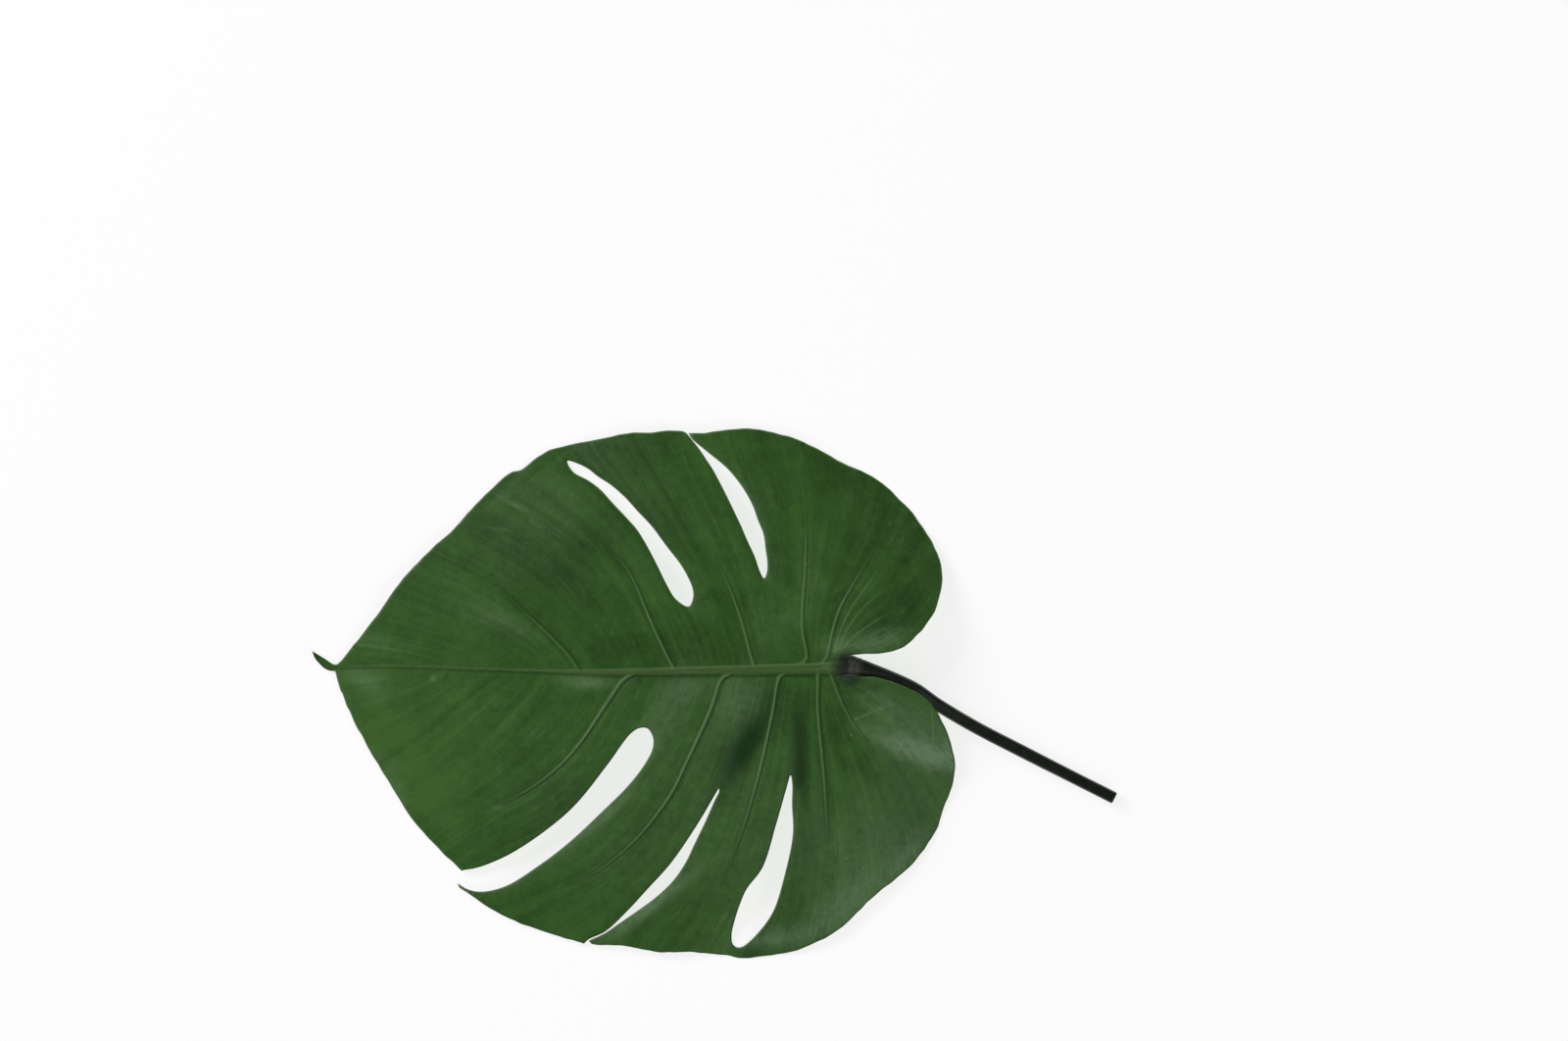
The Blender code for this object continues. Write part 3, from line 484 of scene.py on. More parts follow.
class Blade:
    """What is known of each point of the blade's plan."""

    def __init__(self, points, edge_points, slit_points):
        self.points = points
        self.edge = nearest(points, edge_points)
        self.slit = nearest(points, slit_points)
        self.midrib = path_distance(points, smooth(MIDRIB, MIDRIB_PATH_STEP))
        self.ribs = [path_distance(points, smooth(rib, RIB_PATH_STEP)) for rib in SIDE_RIBS]

    def base_height(self):
        """The height of the upper face as the part's source has it, without its ribs."""
        z = thin_plate(HEIGHT_KNOTS)(self.points)
        for rib, (distance, along, _) in zip(SIDE_RIBS, self.ribs):
            length = np.linalg.norm(np.array(rib[-1]) - np.array(rib[0]))
            grown = np.clip(along * length / VALLEY_START, 0.0, 1.0) * (1.0 - VALLEY_TAPER * along)
            z -= VALLEY_DEPTH * grown * np.exp(-(distance / VALLEY_HALF_WIDTH) ** 2)
        for start, end in np.array(FOLDS):
            run = end - start
            offset = self.points - start
            along = offset @ run / (run @ run)
            left = (run[0] * offset[:, 1] - run[1] * offset[:, 0]) / np.linalg.norm(run)
            grown = np.exp(-(left / FOLD_REACH) ** 2 - ((along - 0.5) / FOLD_LENGTH) ** 4)
            z -= 0.5 * FOLD_DROP * np.tanh(left / FOLD_HALF_WIDTH) * grown
        z -= EDGE_ROLL * np.exp(-self.slit / EDGE_ROLL_REACH)
        foot = np.linalg.norm(self.points[:, None, :] - np.array(FEET), axis=2).min(axis=1)
        return np.maximum(z, LAMINA + TABLE_CLEAR) - TABLE_CLEAR * np.exp(-foot / FOOT_REACH)

    def midrib_width(self):
        """The midrib's half width, and how much of it is left there, from 1 to 0 at the tip."""
        taper = np.clip(1.0 - self.midrib[1] / MIDRIB_SPAN, 0.0, 1.0)
        return blend(MIDRIB_HALF_WIDTH, taper), taper

    def crest_width(self):
        """The half width of the midrib's crest on the upper face."""
        return MIDRIB_CREST_SHARE * self.midrib_width()[0] * crest_narrowing(self.midrib[1])

    def crests(self, fine_ribs):
        """How far each point is on the midrib's crest, a side crest or a groove, and their relief."""
        away, far, to_left = self.midrib
        _, taper = self.midrib_width()
        width = self.crest_width()
        main = bump(away / width) * fading(far, 1.0, MIDRIB_FADE)
        height = blend(MIDRIB_RISE, taper)
        height -= MIDRIB_END_DROP * np.exp(-(self.points[:, 0] / MIDRIB_END_REACH) ** 2)
        relief = height * dome(away / width, CREST_ROUNDNESS)
        groove = bump((away - width - MIDRIB_GROOVE_OFFSET) / GROOVE_HALF_WIDTH)
        groove *= blend(MIDRIB_GROOVE_SHARE, taper)
        groove *= np.where(to_left > 0, 1.0, GROOVE_OUTER_SHARE)
        side = np.zeros(len(self.points))
        for rib, (strength, crease), near in zip(SIDE_RIBS, SIDE_RIB_STRENGTH, self.ribs):
            distance, along, left = near
            rise = blend(SIDE_RIB_RISE, 1.0 - along) * strength
            relief = np.maximum(relief, bump(distance / blend(SIDE_RIB_CREST, 1.0 - along)) * rise)
            line = bump(distance / LINE_HALF_WIDTH) * fading(along, CREST_END, CREST_FADE)
            side = np.maximum(side, line * strength)
            basal = left > 0 if rib[-1][1] < 0 else left < 0
            offset = GROOVE_OFFSET * (1.0 - GROOVE_NARROWING * along)
            beside = bump((distance - offset) / GROOVE_HALF_WIDTH) * fading(along, 1.0, GROOVE_FADE)
            share = np.where(basal, 1.0, GROOVE_OUTER_SHARE + GROOVE_OUTER_GROWTH * along)
            groove = np.maximum(groove, beside * crease * share)
        for rib in fine_ribs:
            distance, along, _ = path_distance(self.points, smooth(rib, FINE_RIB_PATH_STEP))
            own = bump(distance / FINE_RIB_CREST) * fading(along, 1.0, FINE_RIB_FADE)
            relief = np.maximum(relief, own * FINE_RIB_RISE)
            side = np.maximum(side, FINE_RIB_STRENGTH * own)
        groove *= 1.0 - np.maximum(main, side)
        return main, side, groove, relief - GROOVE_DEPTH * groove

    def thickness(self):
        """How thick the blade is: thin at its edge, with the ribs standing out below."""
        half, taper = self.midrib_width()
        extra = blend(MIDRIB_DEPTH, taper) * dome(self.midrib[0] / half, MIDRIB_ROUNDNESS)
        for distance, along, _ in self.ribs:
            depth = blend(RIB_DEPTH, 1.0 - along)
            extra = np.maximum(extra, depth * bump(distance / RIB_HALF_WIDTH))
        grown = 1.0 - np.exp(-self.edge / EDGE_THICKEN_REACH)
        return EDGE_THICKNESS + (LAMINA - EDGE_THICKNESS) * grown + extra

    def flow(self):
        """Across the fine veins and along them, both in about millimetres."""
        across = np.zeros(len(self.points))
        below = self.midrib[2] > 0
        for guides, chosen in ((GUIDES_BELOW, below), (GUIDES_ABOVE, ~below)):
            across[chosen] = flow_between(self.points[chosen], guides)
        across[~below] += UPPER_HALF_OFFSET
        return across, self.midrib[0]


def flow_between(points, guides):
    """How far across a fan of guides each point lies, counted in about millimetres from the first."""
    paths = [smooth(guide, GUIDE_PATH_STEP) for guide in guides]
    left = np.array([path_distance(points, path)[2] for path in paths])
    distance = np.abs(left)
    middles = np.array([path[len(path) // 2] for path in paths])
    widths = np.linalg.norm(np.diff(middles, axis=0), axis=1)
    marks = np.concatenate([[0.0], np.cumsum(widths)])
    closest = np.argmin(distance, axis=0)
    across = marks[closest] + left[closest, np.arange(len(points))]
    for k in range(len(guides) - 1):
        between = (left[k] >= 0) & (left[k + 1] < 0)
        total = np.maximum(distance[k, between] + distance[k + 1, between], TINY)
        across[between] = marks[k] + distance[k, between] / total * widths[k]
    return across


def dome(r, power):
    """1 at 0 and 0 from 1 on: the lower the power, the flatter the top and the steeper the sides."""
    return np.clip(1.0 - r ** 2, 0.0, 1.0) ** power


def bump(r):
    """A dome that runs out smoothly."""
    return dome(r, 2)


def blend(ends, share):
    """The first of the two ends, turned into the second by this share."""
    return ends[0] + (ends[1] - ends[0]) * share


def fading(along, end, length):
    """1, fading to 0 over this length before the end."""
    return np.clip((end - along) / length, 0.0, 1.0)


def crest_narrowing(along):
    """What is left of the midrib crest's width this far along it: less in the tip's half."""
    narrowed = np.clip((along - MIDRIB_NARROWS_FROM) / (MIDRIB_NARROWS_TO - MIDRIB_NARROWS_FROM), 0.0, 1.0)
    return 1.0 - MIDRIB_NARROWING * narrowed


def rows_beside(path, offsets):
    """Rows of points beside a path, at these distances to its left."""
    left = left_of(np.gradient(path, axis=0))
    return [path + offset * left for offset in offsets]


def both_sides(offsets):
    """The offsets to one side of a path, and the same to its other side."""
    return [-offset for offset in offsets[:0:-1]] + list(offsets)


def rib_points(step, fine):
    """Rows of points along the ribs, closer together than the lattice."""
    crest = smooth(MIDRIB, step)
    along = np.linspace(0.0, 1.0, len(crest))[:, None]
    taper = np.clip(1.0 - along / MIDRIB_SPAN, 0.0, 1.0)
    width = MIDRIB_CREST_SHARE * blend(MIDRIB_HALF_WIDTH, taper) * crest_narrowing(along)
    rows = [crest + (row - crest) * width for row in rows_beside(crest, both_sides(MIDRIB_ROWS))]
    for ribs, offsets in ((SIDE_RIBS, SIDE_RIB_ROWS), (fine, FINE_RIB_ROWS)):
        for rib in ribs:
            beside = rows_beside(smooth(rib, step), both_sides(offsets))
            rows += [row[RIB_ROOT_POINTS:] for row in beside]
    return np.vstack(rows)


def lattice(step, loops):
    """An even triangular lattice of points inside the loops, found row by row."""
    low = np.vstack(loops).min(axis=0)
    high = np.vstack(loops).max(axis=0)
    rows = []
    for number, y in enumerate(np.arange(low[1], high[1], step * TRIANGLE_HEIGHT)):
        crossings = []
        for loop in loops:
            after = np.roll(loop, -1, axis=0)
            spans = (loop[:, 1] > y) != (after[:, 1] > y)
            a, b = loop[spans], after[spans]
            crossings.append(a[:, 0] + (y - a[:, 1]) / (b[:, 1] - a[:, 1]) * (b[:, 0] - a[:, 0]))
        crossings = np.sort(np.concatenate(crossings))
        x = np.arange(low[0] + 0.5 * step * (number % 2), high[0], step)
        x = x[np.searchsorted(crossings, x) % 2 == 1]
        rows.append(np.column_stack([x, np.full(len(x), y)]))
    return np.vstack(rows)


def inside(points, loops):
    """Which points lie on the blade: inside an odd number of the loops."""
    crossings = np.zeros(len(points), int)
    for loop in loops:
        x1, y1 = loop[:, 0], loop[:, 1]
        x2, y2 = np.roll(x1, -1), np.roll(y1, -1)
        x, y = points[:, 0:1], points[:, 1:2]
        spans = (y1 > y) != (y2 > y)
        rise = np.where(y2 == y1, 1.0, y2 - y1)
        crossings += np.sum(spans & (x < x1 + (y - y1) / rise * (x2 - x1)), axis=1)
    return crossings % 2 == 1


def thinned(points, distance):
    """The points without those in a cell of this size that already has one."""
    _, first = np.unique(np.floor(points / distance), axis=0, return_index=True)
    return points[np.sort(first)]


def face_plan(loops, step, ribs):
    """The plan of one face of the blade: its points, its triangles, and which points are the loops' own."""
    border = np.vstack(loops)
    ribs = thinned(ribs, RIB_POINT_GAP * step)
    ribs = ribs[inside(ribs, loops)]
    ribs = ribs[nearest(ribs, border) > RIB_BORDER_GAP * step]
    field = lattice(step, loops)
    field = field[nearest(field, border) > FIELD_GAP * step]
    field = field[nearest(field, ribs) > FIELD_GAP * step]
    points = np.vstack([border, ribs, field])
    edges = []
    first = 0
    for loop in loops:
        count = len(loop)
        edges.extend((first + i, first + (i + 1) % count) for i in range(count))
        first += count
    corners, _, faces, origins, _, _ = delaunay_2d_cdt([Vector(p) for p in points], edges, [], 1, TINY)
    corners = np.array([tuple(c) for c in corners])
    faces = np.array([tuple(f) for f in faces])
    place = np.zeros(len(points), int)
    for index, sources in enumerate(origins):
        place[sources] = index
    on_border = np.zeros(len(corners), bool)
    on_border[place[:len(border)]] = True
    doubtful = np.flatnonzero(on_border[faces].all(axis=1))
    outside = doubtful[~inside(corners[faces[doubtful]].mean(axis=1), loops)]
    return corners, np.delete(faces, outside, axis=0), place[:len(border)]


def noise_at(pairs, level):
    """The noise at each pair of numbers, in the slice of it at this level."""
    return np.array([noise.noise(Vector((a, b, level))) for a, b in pairs])


def quilt(points, across, along):
    """A soft, streaky unevenness that runs along the fine veins."""
    rise, scale, level = QUILT_BROAD
    height = rise * noise_at(points * scale, level)
    for rise, across_scale, along_scale, level in QUILT_VEINS:
        height += rise * noise_at(np.column_stack([across * across_scale, along * along_scale]), level)
    return height


def patches(points, listed):
    """The sum of soft oval patches: each has its place, its two reaches, its turn and its strength."""
    found = np.zeros(len(points))
    for x, y, long, short, turn, strength in listed:
        way = np.array([np.cos(np.radians(turn)), np.sin(np.radians(turn))])
        offset = points - (x, y)
        r = (offset @ way / long) ** 2 + ((offset[:, 0] * way[1] - offset[:, 1] * way[0]) / short) ** 2
        found += strength * np.exp(-r)
    return found


def add_values(mesh, **values):
    """Stores one number for each point of a mesh, under each name."""
    for name, data in values.items():
        layer = mesh.attributes.new(name, "FLOAT", "POINT")
        layer.data.foreach_set("value", np.asarray(data, dtype=np.float32))


def place_object(data, place):
    """An object in the scene that shows this mesh, lamp or camera, and bears its name."""
    item = bpy.data.objects.new(data.name, data)
    item.location = place
    bpy.context.scene.collection.objects.link(item)
    return item


def place_mesh(name, points, faces, origin):
    """A smooth object of these points, given in millimetres from the origin."""
    mesh = bpy.data.meshes.new(name)
    mesh.from_pydata((points * MM).tolist(), [], faces)
    mesh.shade_smooth()
    return place_object(mesh, origin)


def edge_drop(blade):
    """How far each point of a face lies lower because it is close to the edge."""
    return EDGE_DROP * np.exp(-(blade.edge / EDGE_DROP_REACH) ** 2)


def edge_faces(edges, upper_border, lower_border, rim_first, lower_first):
    """The two rows of faces around each loop, from the upper face to the rim and on to the lower."""
    faces = []
    first = 0
    for loop in edges:
        count = len(loop)
        for i in range(count):
            a, b = first + i, first + (i + 1) % count
            rim_a, rim_b = rim_first + a, rim_first + b
            faces.append((upper_border[a], rim_a, rim_b, upper_border[b]))
            faces.append((rim_a, lower_first + lower_border[a], lower_first + lower_border[b], rim_b))
        first += count
    return faces


def build_blade(loops, origin):
    """The blade: a fine upper face, a coarser lower face, and a rounded edge between them."""
    slit_points = np.vstack([smooth(slit, OUTLINE_STEP) for slit in SLITS] + loops[1:])
    edges = [wavelets(loop, slit_points) for loop in loops]
    inner = [loop + EDGE_INSET * facing_left(loop) for loop in edges]
    rim = np.vstack(edges)
    upper, upper_faces, upper_border = face_plan(inner, UPPER_STEP, rib_points(RIB_ROW_STEP, FINE_RIBS))
    lower, lower_faces, lower_border = face_plan(inner, LOWER_STEP, rib_points(LOWER_STEP, []))
    top = Blade(upper, rim, slit_points)
    under = Blade(lower, rim, slit_points)
    edge = Blade(rim, rim, slit_points)
    across, along = top.flow()
    lower_across, lower_along = under.flow()
    main, side, groove, relief = top.crests(FINE_RIBS)
    under_main, under_side, under_groove, _ = under.crests([])
    away = np.clip(top.edge / QUILT_EDGE_REACH, 0.0, 1.0)
    upper_z = top.base_height() + relief + quilt(upper, across, along) * away - edge_drop(top)
    upper_z = np.clip(upper_z, LAMINA, CEILING)
    lower_z = np.maximum(under.base_height() - under.thickness() - edge_drop(under), 0.0)
    edge_z = np.maximum(edge.base_height() - EDGE_DROP - 0.5 * EDGE_THICKNESS, 0.5 * LAMINA)
    points = np.vstack([np.column_stack([upper, upper_z]), np.column_stack([rim, edge_z]),
                        np.column_stack([lower, lower_z])])
    rim_first = len(upper)
    lower_first = rim_first + len(rim)
    faces = upper_faces.tolist() + edge_faces(edges, upper_border, lower_border, rim_first, lower_first)
    under_from = len(faces)
    faces += (lower_faces[:, ::-1] + lower_first).tolist()
    blade = place_mesh("blade_skin", points, faces, origin)
    mesh = blade.data
    mesh.polygons.foreach_set("material_index", [int(i >= under_from) for i in range(len(faces))])
    spare, plain = np.zeros(len(rim)), np.zeros(len(lower))
    listed = {
        "across": (across, lower_across), "along": (along, lower_along),
        "midrib": (main, under_main), "rib": (side, under_side), "groove": (groove, under_groove),
        "beside": (top.midrib[2] / top.crest_width(), under.midrib[2] / under.crest_width()),
        "edge": (top.edge, under.edge),
        # Listed patches: the skin's own colour with painted light and shade, and painted sheen
        "tone_and_painted_light": (patches(upper, TONE_AND_PAINTED_LIGHT), plain), "painted_sheen": (patches(upper, PAINTED_SHEEN), plain),
    }
    add_values(mesh, **{name: np.concatenate([above, spare, below])
                        for name, (above, below) in listed.items()})
    mesh.materials.append(upper_skin())
    mesh.materials.append(lower_skin())
    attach(blade, "root")
    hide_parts("leaf_blade")


def stem_shape(s, angle):
    """The share of the stem's radius at each angle, this far along it: channel, ridges and wrinkles."""
    channel = np.clip((s - KNUCKLE_END) / CHANNEL_GROWTH, 0.0, 1.0)
    from_top = np.abs(angle - np.pi / 2)
    shape = 1.0 - CHANNEL_DEPTH * channel * np.exp(-(from_top / CHANNEL_HALF_ANGLE) ** 2)
    shape += RIDGE_RISE * channel * np.exp(-((from_top - RIDGE_ANGLE) / RIDGE_HALF_ANGLE) ** 2)
    knuckle = np.clip(1.0 - abs(s - 0.5 * (KNUCKLE_START + KNUCKLE_END)) / WRINKLE_REACH, 0.0, 1.0)
    around = WRINKLE_AROUND * np.column_stack([np.cos(angle), np.sin(angle)])
    fold = [noise.noise(Vector((s * WRINKLE_ALONG, x, y))) for x, y in around]
    return shape - WRINKLE_DEPTH * knuckle * np.abs(np.array(fold))


def build_stem(origin):
    """The stem: a channelled bar with a wrinkled knuckle at the blade and a square cut end."""
    route = smooth(STEM, STEM_RING_STEP)
    centre, radius = route[:, :3], route[:, 3]
    run = unit(np.gradient(centre, axis=0))
    side = unit(np.cross(run, (0.0, 0.0, 1.0)))
    up = np.cross(side, run)
    length = np.concatenate([[0.0], np.cumsum(np.linalg.norm(np.diff(centre, axis=0), axis=1))])
    angle = 2 * np.pi * np.arange(STEM_SIDES) / STEM_SIDES
    points = []
    values = []
    for ring, s in enumerate(length - STEM_LEAD):
        reach = radius[ring] * stem_shape(s, angle)
        wide = 1.0 + KNUCKLE_WIDEN * np.exp(-((s - KNUCKLE_START) / KNUCKLE_WIDEN_REACH) ** 2)
        sideways, upwards = (reach * wide * np.cos(angle))[:, None], (reach * np.sin(angle))[:, None]
        points.append(centre[ring] + side[ring] * sideways + up[ring] * upwards)
        values.append(np.full(STEM_SIDES, s))
    count = len(points)
    end = points[-1] - centre[-1]
    points[-1] = centre[-1] + end * (1.0 + CUT_SHARE) / 2
    points = np.vstack(points + [centre[-1] + end * CUT_SHARE, centre[:1], centre[-1:]])
    values += [values[-1], [values[0][0], values[-1][0]]]
    faces = []
    neighbours = [(i, (i + 1) % STEM_SIDES) for i in range(STEM_SIDES)]
    for a in range(0, count * STEM_SIDES, STEM_SIDES):
        b = a + STEM_SIDES
        faces.extend((a + i, b + i, b + j, a + j) for i, j in neighbours)
    head, tail, cap = len(points) - 2, len(points) - 1, count * STEM_SIDES
    for i, j in neighbours:
        faces += [(head, i, j), (tail, cap + j, cap + i)]
    stem = place_mesh("stem_bar", points, faces, origin)
    cut = np.zeros(len(points))
    cut[cap:] = 1.0
    cut[head] = 0.0
    turn = np.concatenate([np.tile(np.sin(angle), count + 1), [0.0, 0.0]])
    add_values(stem.data, along=np.concatenate(values), cut=cut, turn=turn)
    stem.data.materials.append(stem_skin())
    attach(stem, "root")
    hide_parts("leaf_stem")


class Nodes:
    """Short calls for building a node material."""

    def __init__(self, name):
        self.material = bpy.data.materials.new(name)
        self.material.use_nodes = True
        self.tree = self.material.node_tree
        self.shader = self.tree.nodes["Principled BSDF"]

    def add(self, kind, inputs=None, **settings):
        """A node with these settings, its inputs given as values or as other nodes' outputs."""
        node = self.tree.nodes.new(kind)
        for key, value in settings.items():
            setattr(node, key, value)
        for key, value in (inputs or {}).items():
            self.feed(node.inputs[key], value)
        return node

    def feed(self, socket, value):
        """Links an output to a socket, or sets the socket to a value."""
        if isinstance(value, bpy.types.NodeSocket):
            self.tree.links.new(value, socket)
        else:
            socket.default_value = value

    def value(self, name):
        """A number stored on the mesh."""
        return self.add("ShaderNodeAttribute", attribute_name=name).outputs["Fac"]

    def math(self, operation, a, b=0.0, clamp=False):
        """The result of one sum."""
        node = self.add("ShaderNodeMath", operation=operation, use_clamp=clamp)
        self.feed(node.inputs[0], a)
        self.feed(node.inputs[1], b)
        return node.outputs[0]

    def times(self, a, b, clamp=False):
        """The product of two numbers."""
        return self.math("MULTIPLY", a, b, clamp)

    def plus(self, *terms):
        """The sum of these terms."""
        total = terms[0]
        for term in terms[1:]:
            total = self.math("ADD", total, term)
        return total

    def streaks(self, across, along, across_scale, along_scale, detail, roughness):
        """Noise drawn out along one direction: each of the two numbers has its own scale."""
        scaled = {"X": self.times(across, across_scale), "Y": self.times(along, along_scale)}
        vector = self.add("ShaderNodeCombineXYZ", scaled).outputs[0]
        return self.noise(vector, 1.0, detail, roughness)

    def noise(self, vector, scale, detail, roughness):
        """Soft noise from 0 to 1."""
        inputs = {"Vector": vector, "Scale": scale, "Detail": detail, "Roughness": roughness}
        return self.add("ShaderNodeTexNoise", inputs).outputs["Fac"]

    def span(self, value, low, high, to_low=0.0, to_high=1.0):
        """The value stretched so that low to high becomes to_low to to_high, and held there."""
        inputs = {"Value": value, "From Min": low, "From Max": high, "To Min": to_low, "To Max": to_high}
        return self.add("ShaderNodeMapRange", inputs).outputs[0]

    def swing(self, noise, low, high):
        """The usual range of a noise, stretched to low to high."""
        return self.span(noise, *NOISE_RANGE, low, high)

    def tint(self, noise, amount):
        """A noise stretched to either side of 0 by this amount."""
        return self.swing(noise, -amount, amount)

    def mix(self, share, a, b):
        """Colour a turned into colour b by this share."""
        node = self.add("ShaderNodeMix", data_type="RGBA")
        self.feed(node.inputs["Factor"], share)
        self.feed(node.inputs["A"], a)
        self.feed(node.inputs["B"], b)
        return node.outputs["Result"]

    def vector_math(self, operation, a, b):
        """The number that comes of two vectors."""
        return self.add("ShaderNodeVectorMath", {0: a, 1: b}, operation=operation).outputs["Value"]

    def skin(self, base, rough, specular, height, strength):
        """The material with this colour, roughness and specular level, and with this relief."""
        inputs = {"Strength": strength, "Distance": RELIEF_DISTANCE, "Height": height}
        self.feed(self.shader.inputs["Base Color"], base)
        self.feed(self.shader.inputs["Roughness"], rough)
        self.shader.inputs["Specular IOR Level"].default_value = specular
        self.feed(self.shader.inputs["Normal"], self.add("ShaderNodeBump", inputs).outputs[0])
        return self.material


def colour(red, green, blue):
    """A colour given as sRGB from 0 to 255, made linear by the sRGB curve, as Blender takes it."""
    shares = [level / 255 for level in (red, green, blue)]
    linear = [s / 12.92 if s <= 0.04045 else ((s + 0.055) / 1.055) ** 2.4 for s in shares]
    return (*linear, 1.0)


GREEN = colour(59, 101, 40)
GREEN_DARK = colour(42, 78, 29)
GREEN_LIGHT = colour(75, 119, 51)
# Painted shade: the deep green drawn in creases, in folds and on rims turned from the light
SHADE_GREEN = colour(25, 56, 18)
# Painted sheen: the grey green drawn where light would catch the skin
SHEEN_GREY = colour(121, 153, 112)
MIDRIB_GREEN = colour(68, 98, 48)
MIDRIB_LIGHT = colour(92, 122, 68)
RIB_GREEN = colour(116, 152, 98)
# Painted highlight on rims that face the lamp
RIM_HIGHLIGHT_GREEN = colour(124, 156, 104)
SPECK = colour(136, 172, 130)
UNDER_GREEN = colour(100, 138, 76)
UNDER_DARK = colour(84, 122, 64)
UNDER_RIB = colour(146, 172, 108)
STEM_DARK = colour(13, 23, 12)
STEM_LIGHT = colour(30, 42, 27)
STEM_GREY = colour(98, 98, 92)
STEM_PITH = colour(120, 136, 96)
COLLAR_GREY = colour(40, 52, 37)

# Noises drawn out along the fine veins: scale across them, scale along them, detail, roughness
BANDS = (0.35, 0.012, 2.0, 0.5)
STREAKS = (1.1, 0.03, 3.0, 0.6)
THREADS = (3.0, 0.08, 2.0, 0.6)
WANDER = (0.22, 0.006, 1.0, 0.5)
MIDRIB_STREAKS = (5.0, 40.0, 3.0, 0.6)
STEM_STREAKS = (9.0, 0.04, 3.0, 0.6)
WRINKLES = (2.5, 1.6, 3.0, 0.6)
SLEEVE_STREAKS = (7.0, 0.1, 2.0, 0.6)
# Noises by place: scale for each metre, detail, roughness
BROAD = (22.0, 3.0, 0.55)
BLOTCH = (95.0, 4.0, 0.6)
MOTTLE = (300.0, 3.0, 0.6)
GRAIN = (800.0, 2.0, 0.5)
SPECK_FIELDS = (40.0, 2.0, 0.5)
UNDER_BLOTCH = (60.0, 4.0, 0.6)
UNDER_GRAIN = (900.0, 2.0, 0.5)
STEM_MOTTLE = (260.0, 4.0, 0.6)
# How far each noise tints the upper face, and how much it counts in its relief
BANDS_TINT, BANDS_RELIEF = 0.16, 1.4
STREAKS_TINT, STREAKS_RELIEF = 0.13, 0.5
THREADS_TINT, THREADS_RELIEF = 0.14, 0.25
BLOTCH_TINT, BLOTCH_RELIEF = 0.3, 0.8
MOTTLE_TINT, MOTTLE_RELIEF = 0.24, 0.9
GRAIN_TINT, GRAIN_RELIEF = 0.16, 0.12
BROAD_TINT, WANDER_TINT = 0.4, 0.3
UNDER_GRAIN_RELIEF = 0.3
STEM_RELIEF = 0.6
RELIEF_DISTANCE = 0.0003
# Spans of a value: from, to, and where four are given what they become
NOISE_RANGE = (0.3, 0.7)
MIDDLE_RANGE = (0.35, 0.65)
VEIN_START = (1.5, 6.0)
LINE_WIDTH, LINE_BANDS, LINE_START = (0.07, 0.0), (0.4, 0.7), (4.0, 10.0)
# How noise clouds the painted sheen
SHEEN_CLOUD = (0.32, 0.64, 0.35, 1.2)
# Where the patches are darkest they turn to the painted shade of the folds
FOLD_SHADE = (-0.7, -1.5, 0.0, 0.85)
# The midrib: a painted highlight along its upper border, and painted shade toward its lower side
MIDRIB_HIGHLIGHT_OUT, MIDRIB_HIGHLIGHT_IN = (-1.05, -0.85), (-0.5, -0.75)
MIDRIB_PAINTED_SHADE = (0.1, 1.0, 0.0, 0.5)
MIDRIB_EDGE = (0.0, 0.3, 0.0, 0.85)
# Rims: painted light where they face the lamp, painted shade where they face away, close to the edge
RIM_LIGHT_TURN, RIM_EDGE = (-0.3, 0.3), (0.35, 0.7, 0.7, 0.0)
COLLAR_REACH = (0.0092, 0.00414)
SPECK_CHOICE, SPECK_SIZE = (0.56, 0.64), (0.075, 0.045)
STEM_LIGHT_SPAN, STEM_DARK_SPAN = (0.35, 0.75), (0.35, 0.7, 0.6, 0.0)
KNUCKLE_GREY = (KNUCKLE_END, KNUCKLE_END - 3.0)
KNUCKLE_GREY_START = (KNUCKLE_START - 1.0, KNUCKLE_START + 1.5)
# The knuckle's grey wrinkles are drawn on its top only, partly as a painted highlight
WRINKLE_SPAN, KNUCKLE_TOP_HIGHLIGHT = (0.42, 0.62, 0.1, 0.8), (0.1, 0.8)
STEM_COLLAR = (KNUCKLE_START + 0.8, KNUCKLE_START - 2.0)
SLEEVE_REACH = (-1.5, -6.5)
# What a noise is stretched to
UPPER_ROUGHNESS, UNDER_ROUGHNESS, STEM_ROUGHNESS = (0.40, 0.52), (0.55, 0.66), (0.30, 0.44)
UNDER_STREAKS_LIGHT, UNDER_BLOTCH_LIGHT = (0.0, 0.6), (0.0, 0.4)
CUT_SPAN = (0.5, 1.0)
# Shares of a colour, and other single values
LINE_COUNT, LINE_FOLD, LINE_SHARE = 14.0, 0.5, 0.3
# The groove's share is painted shade in the creases beside the ribs, the midrib border's a painted
# highlight
GROOVE_SHADE_SHARE, RIB_SHARE, MIDRIB_HIGHLIGHT_SHARE, UNDER_RIB_SHARE = 0.65, 0.85, 0.9, 0.9
SPECK_SCALE, SPECK_SHARE = 130.0, 0.45
# How much rougher the skin is under the painted sheen
SHEEN_ROUGHNESS = 0.08
UPPER_SPECULAR, UNDER_SPECULAR, STEM_SPECULAR = 0.17, 0.3, 0.3
UPPER_BUMP, UNDER_BUMP, STEM_BUMP = 0.6, 0.5, 0.5
RIM_LIGHT_SIDE = (-0.6, 0.8, 0.0)
COLLAR_PLACE = (0.0035, 0.0, 0.023)


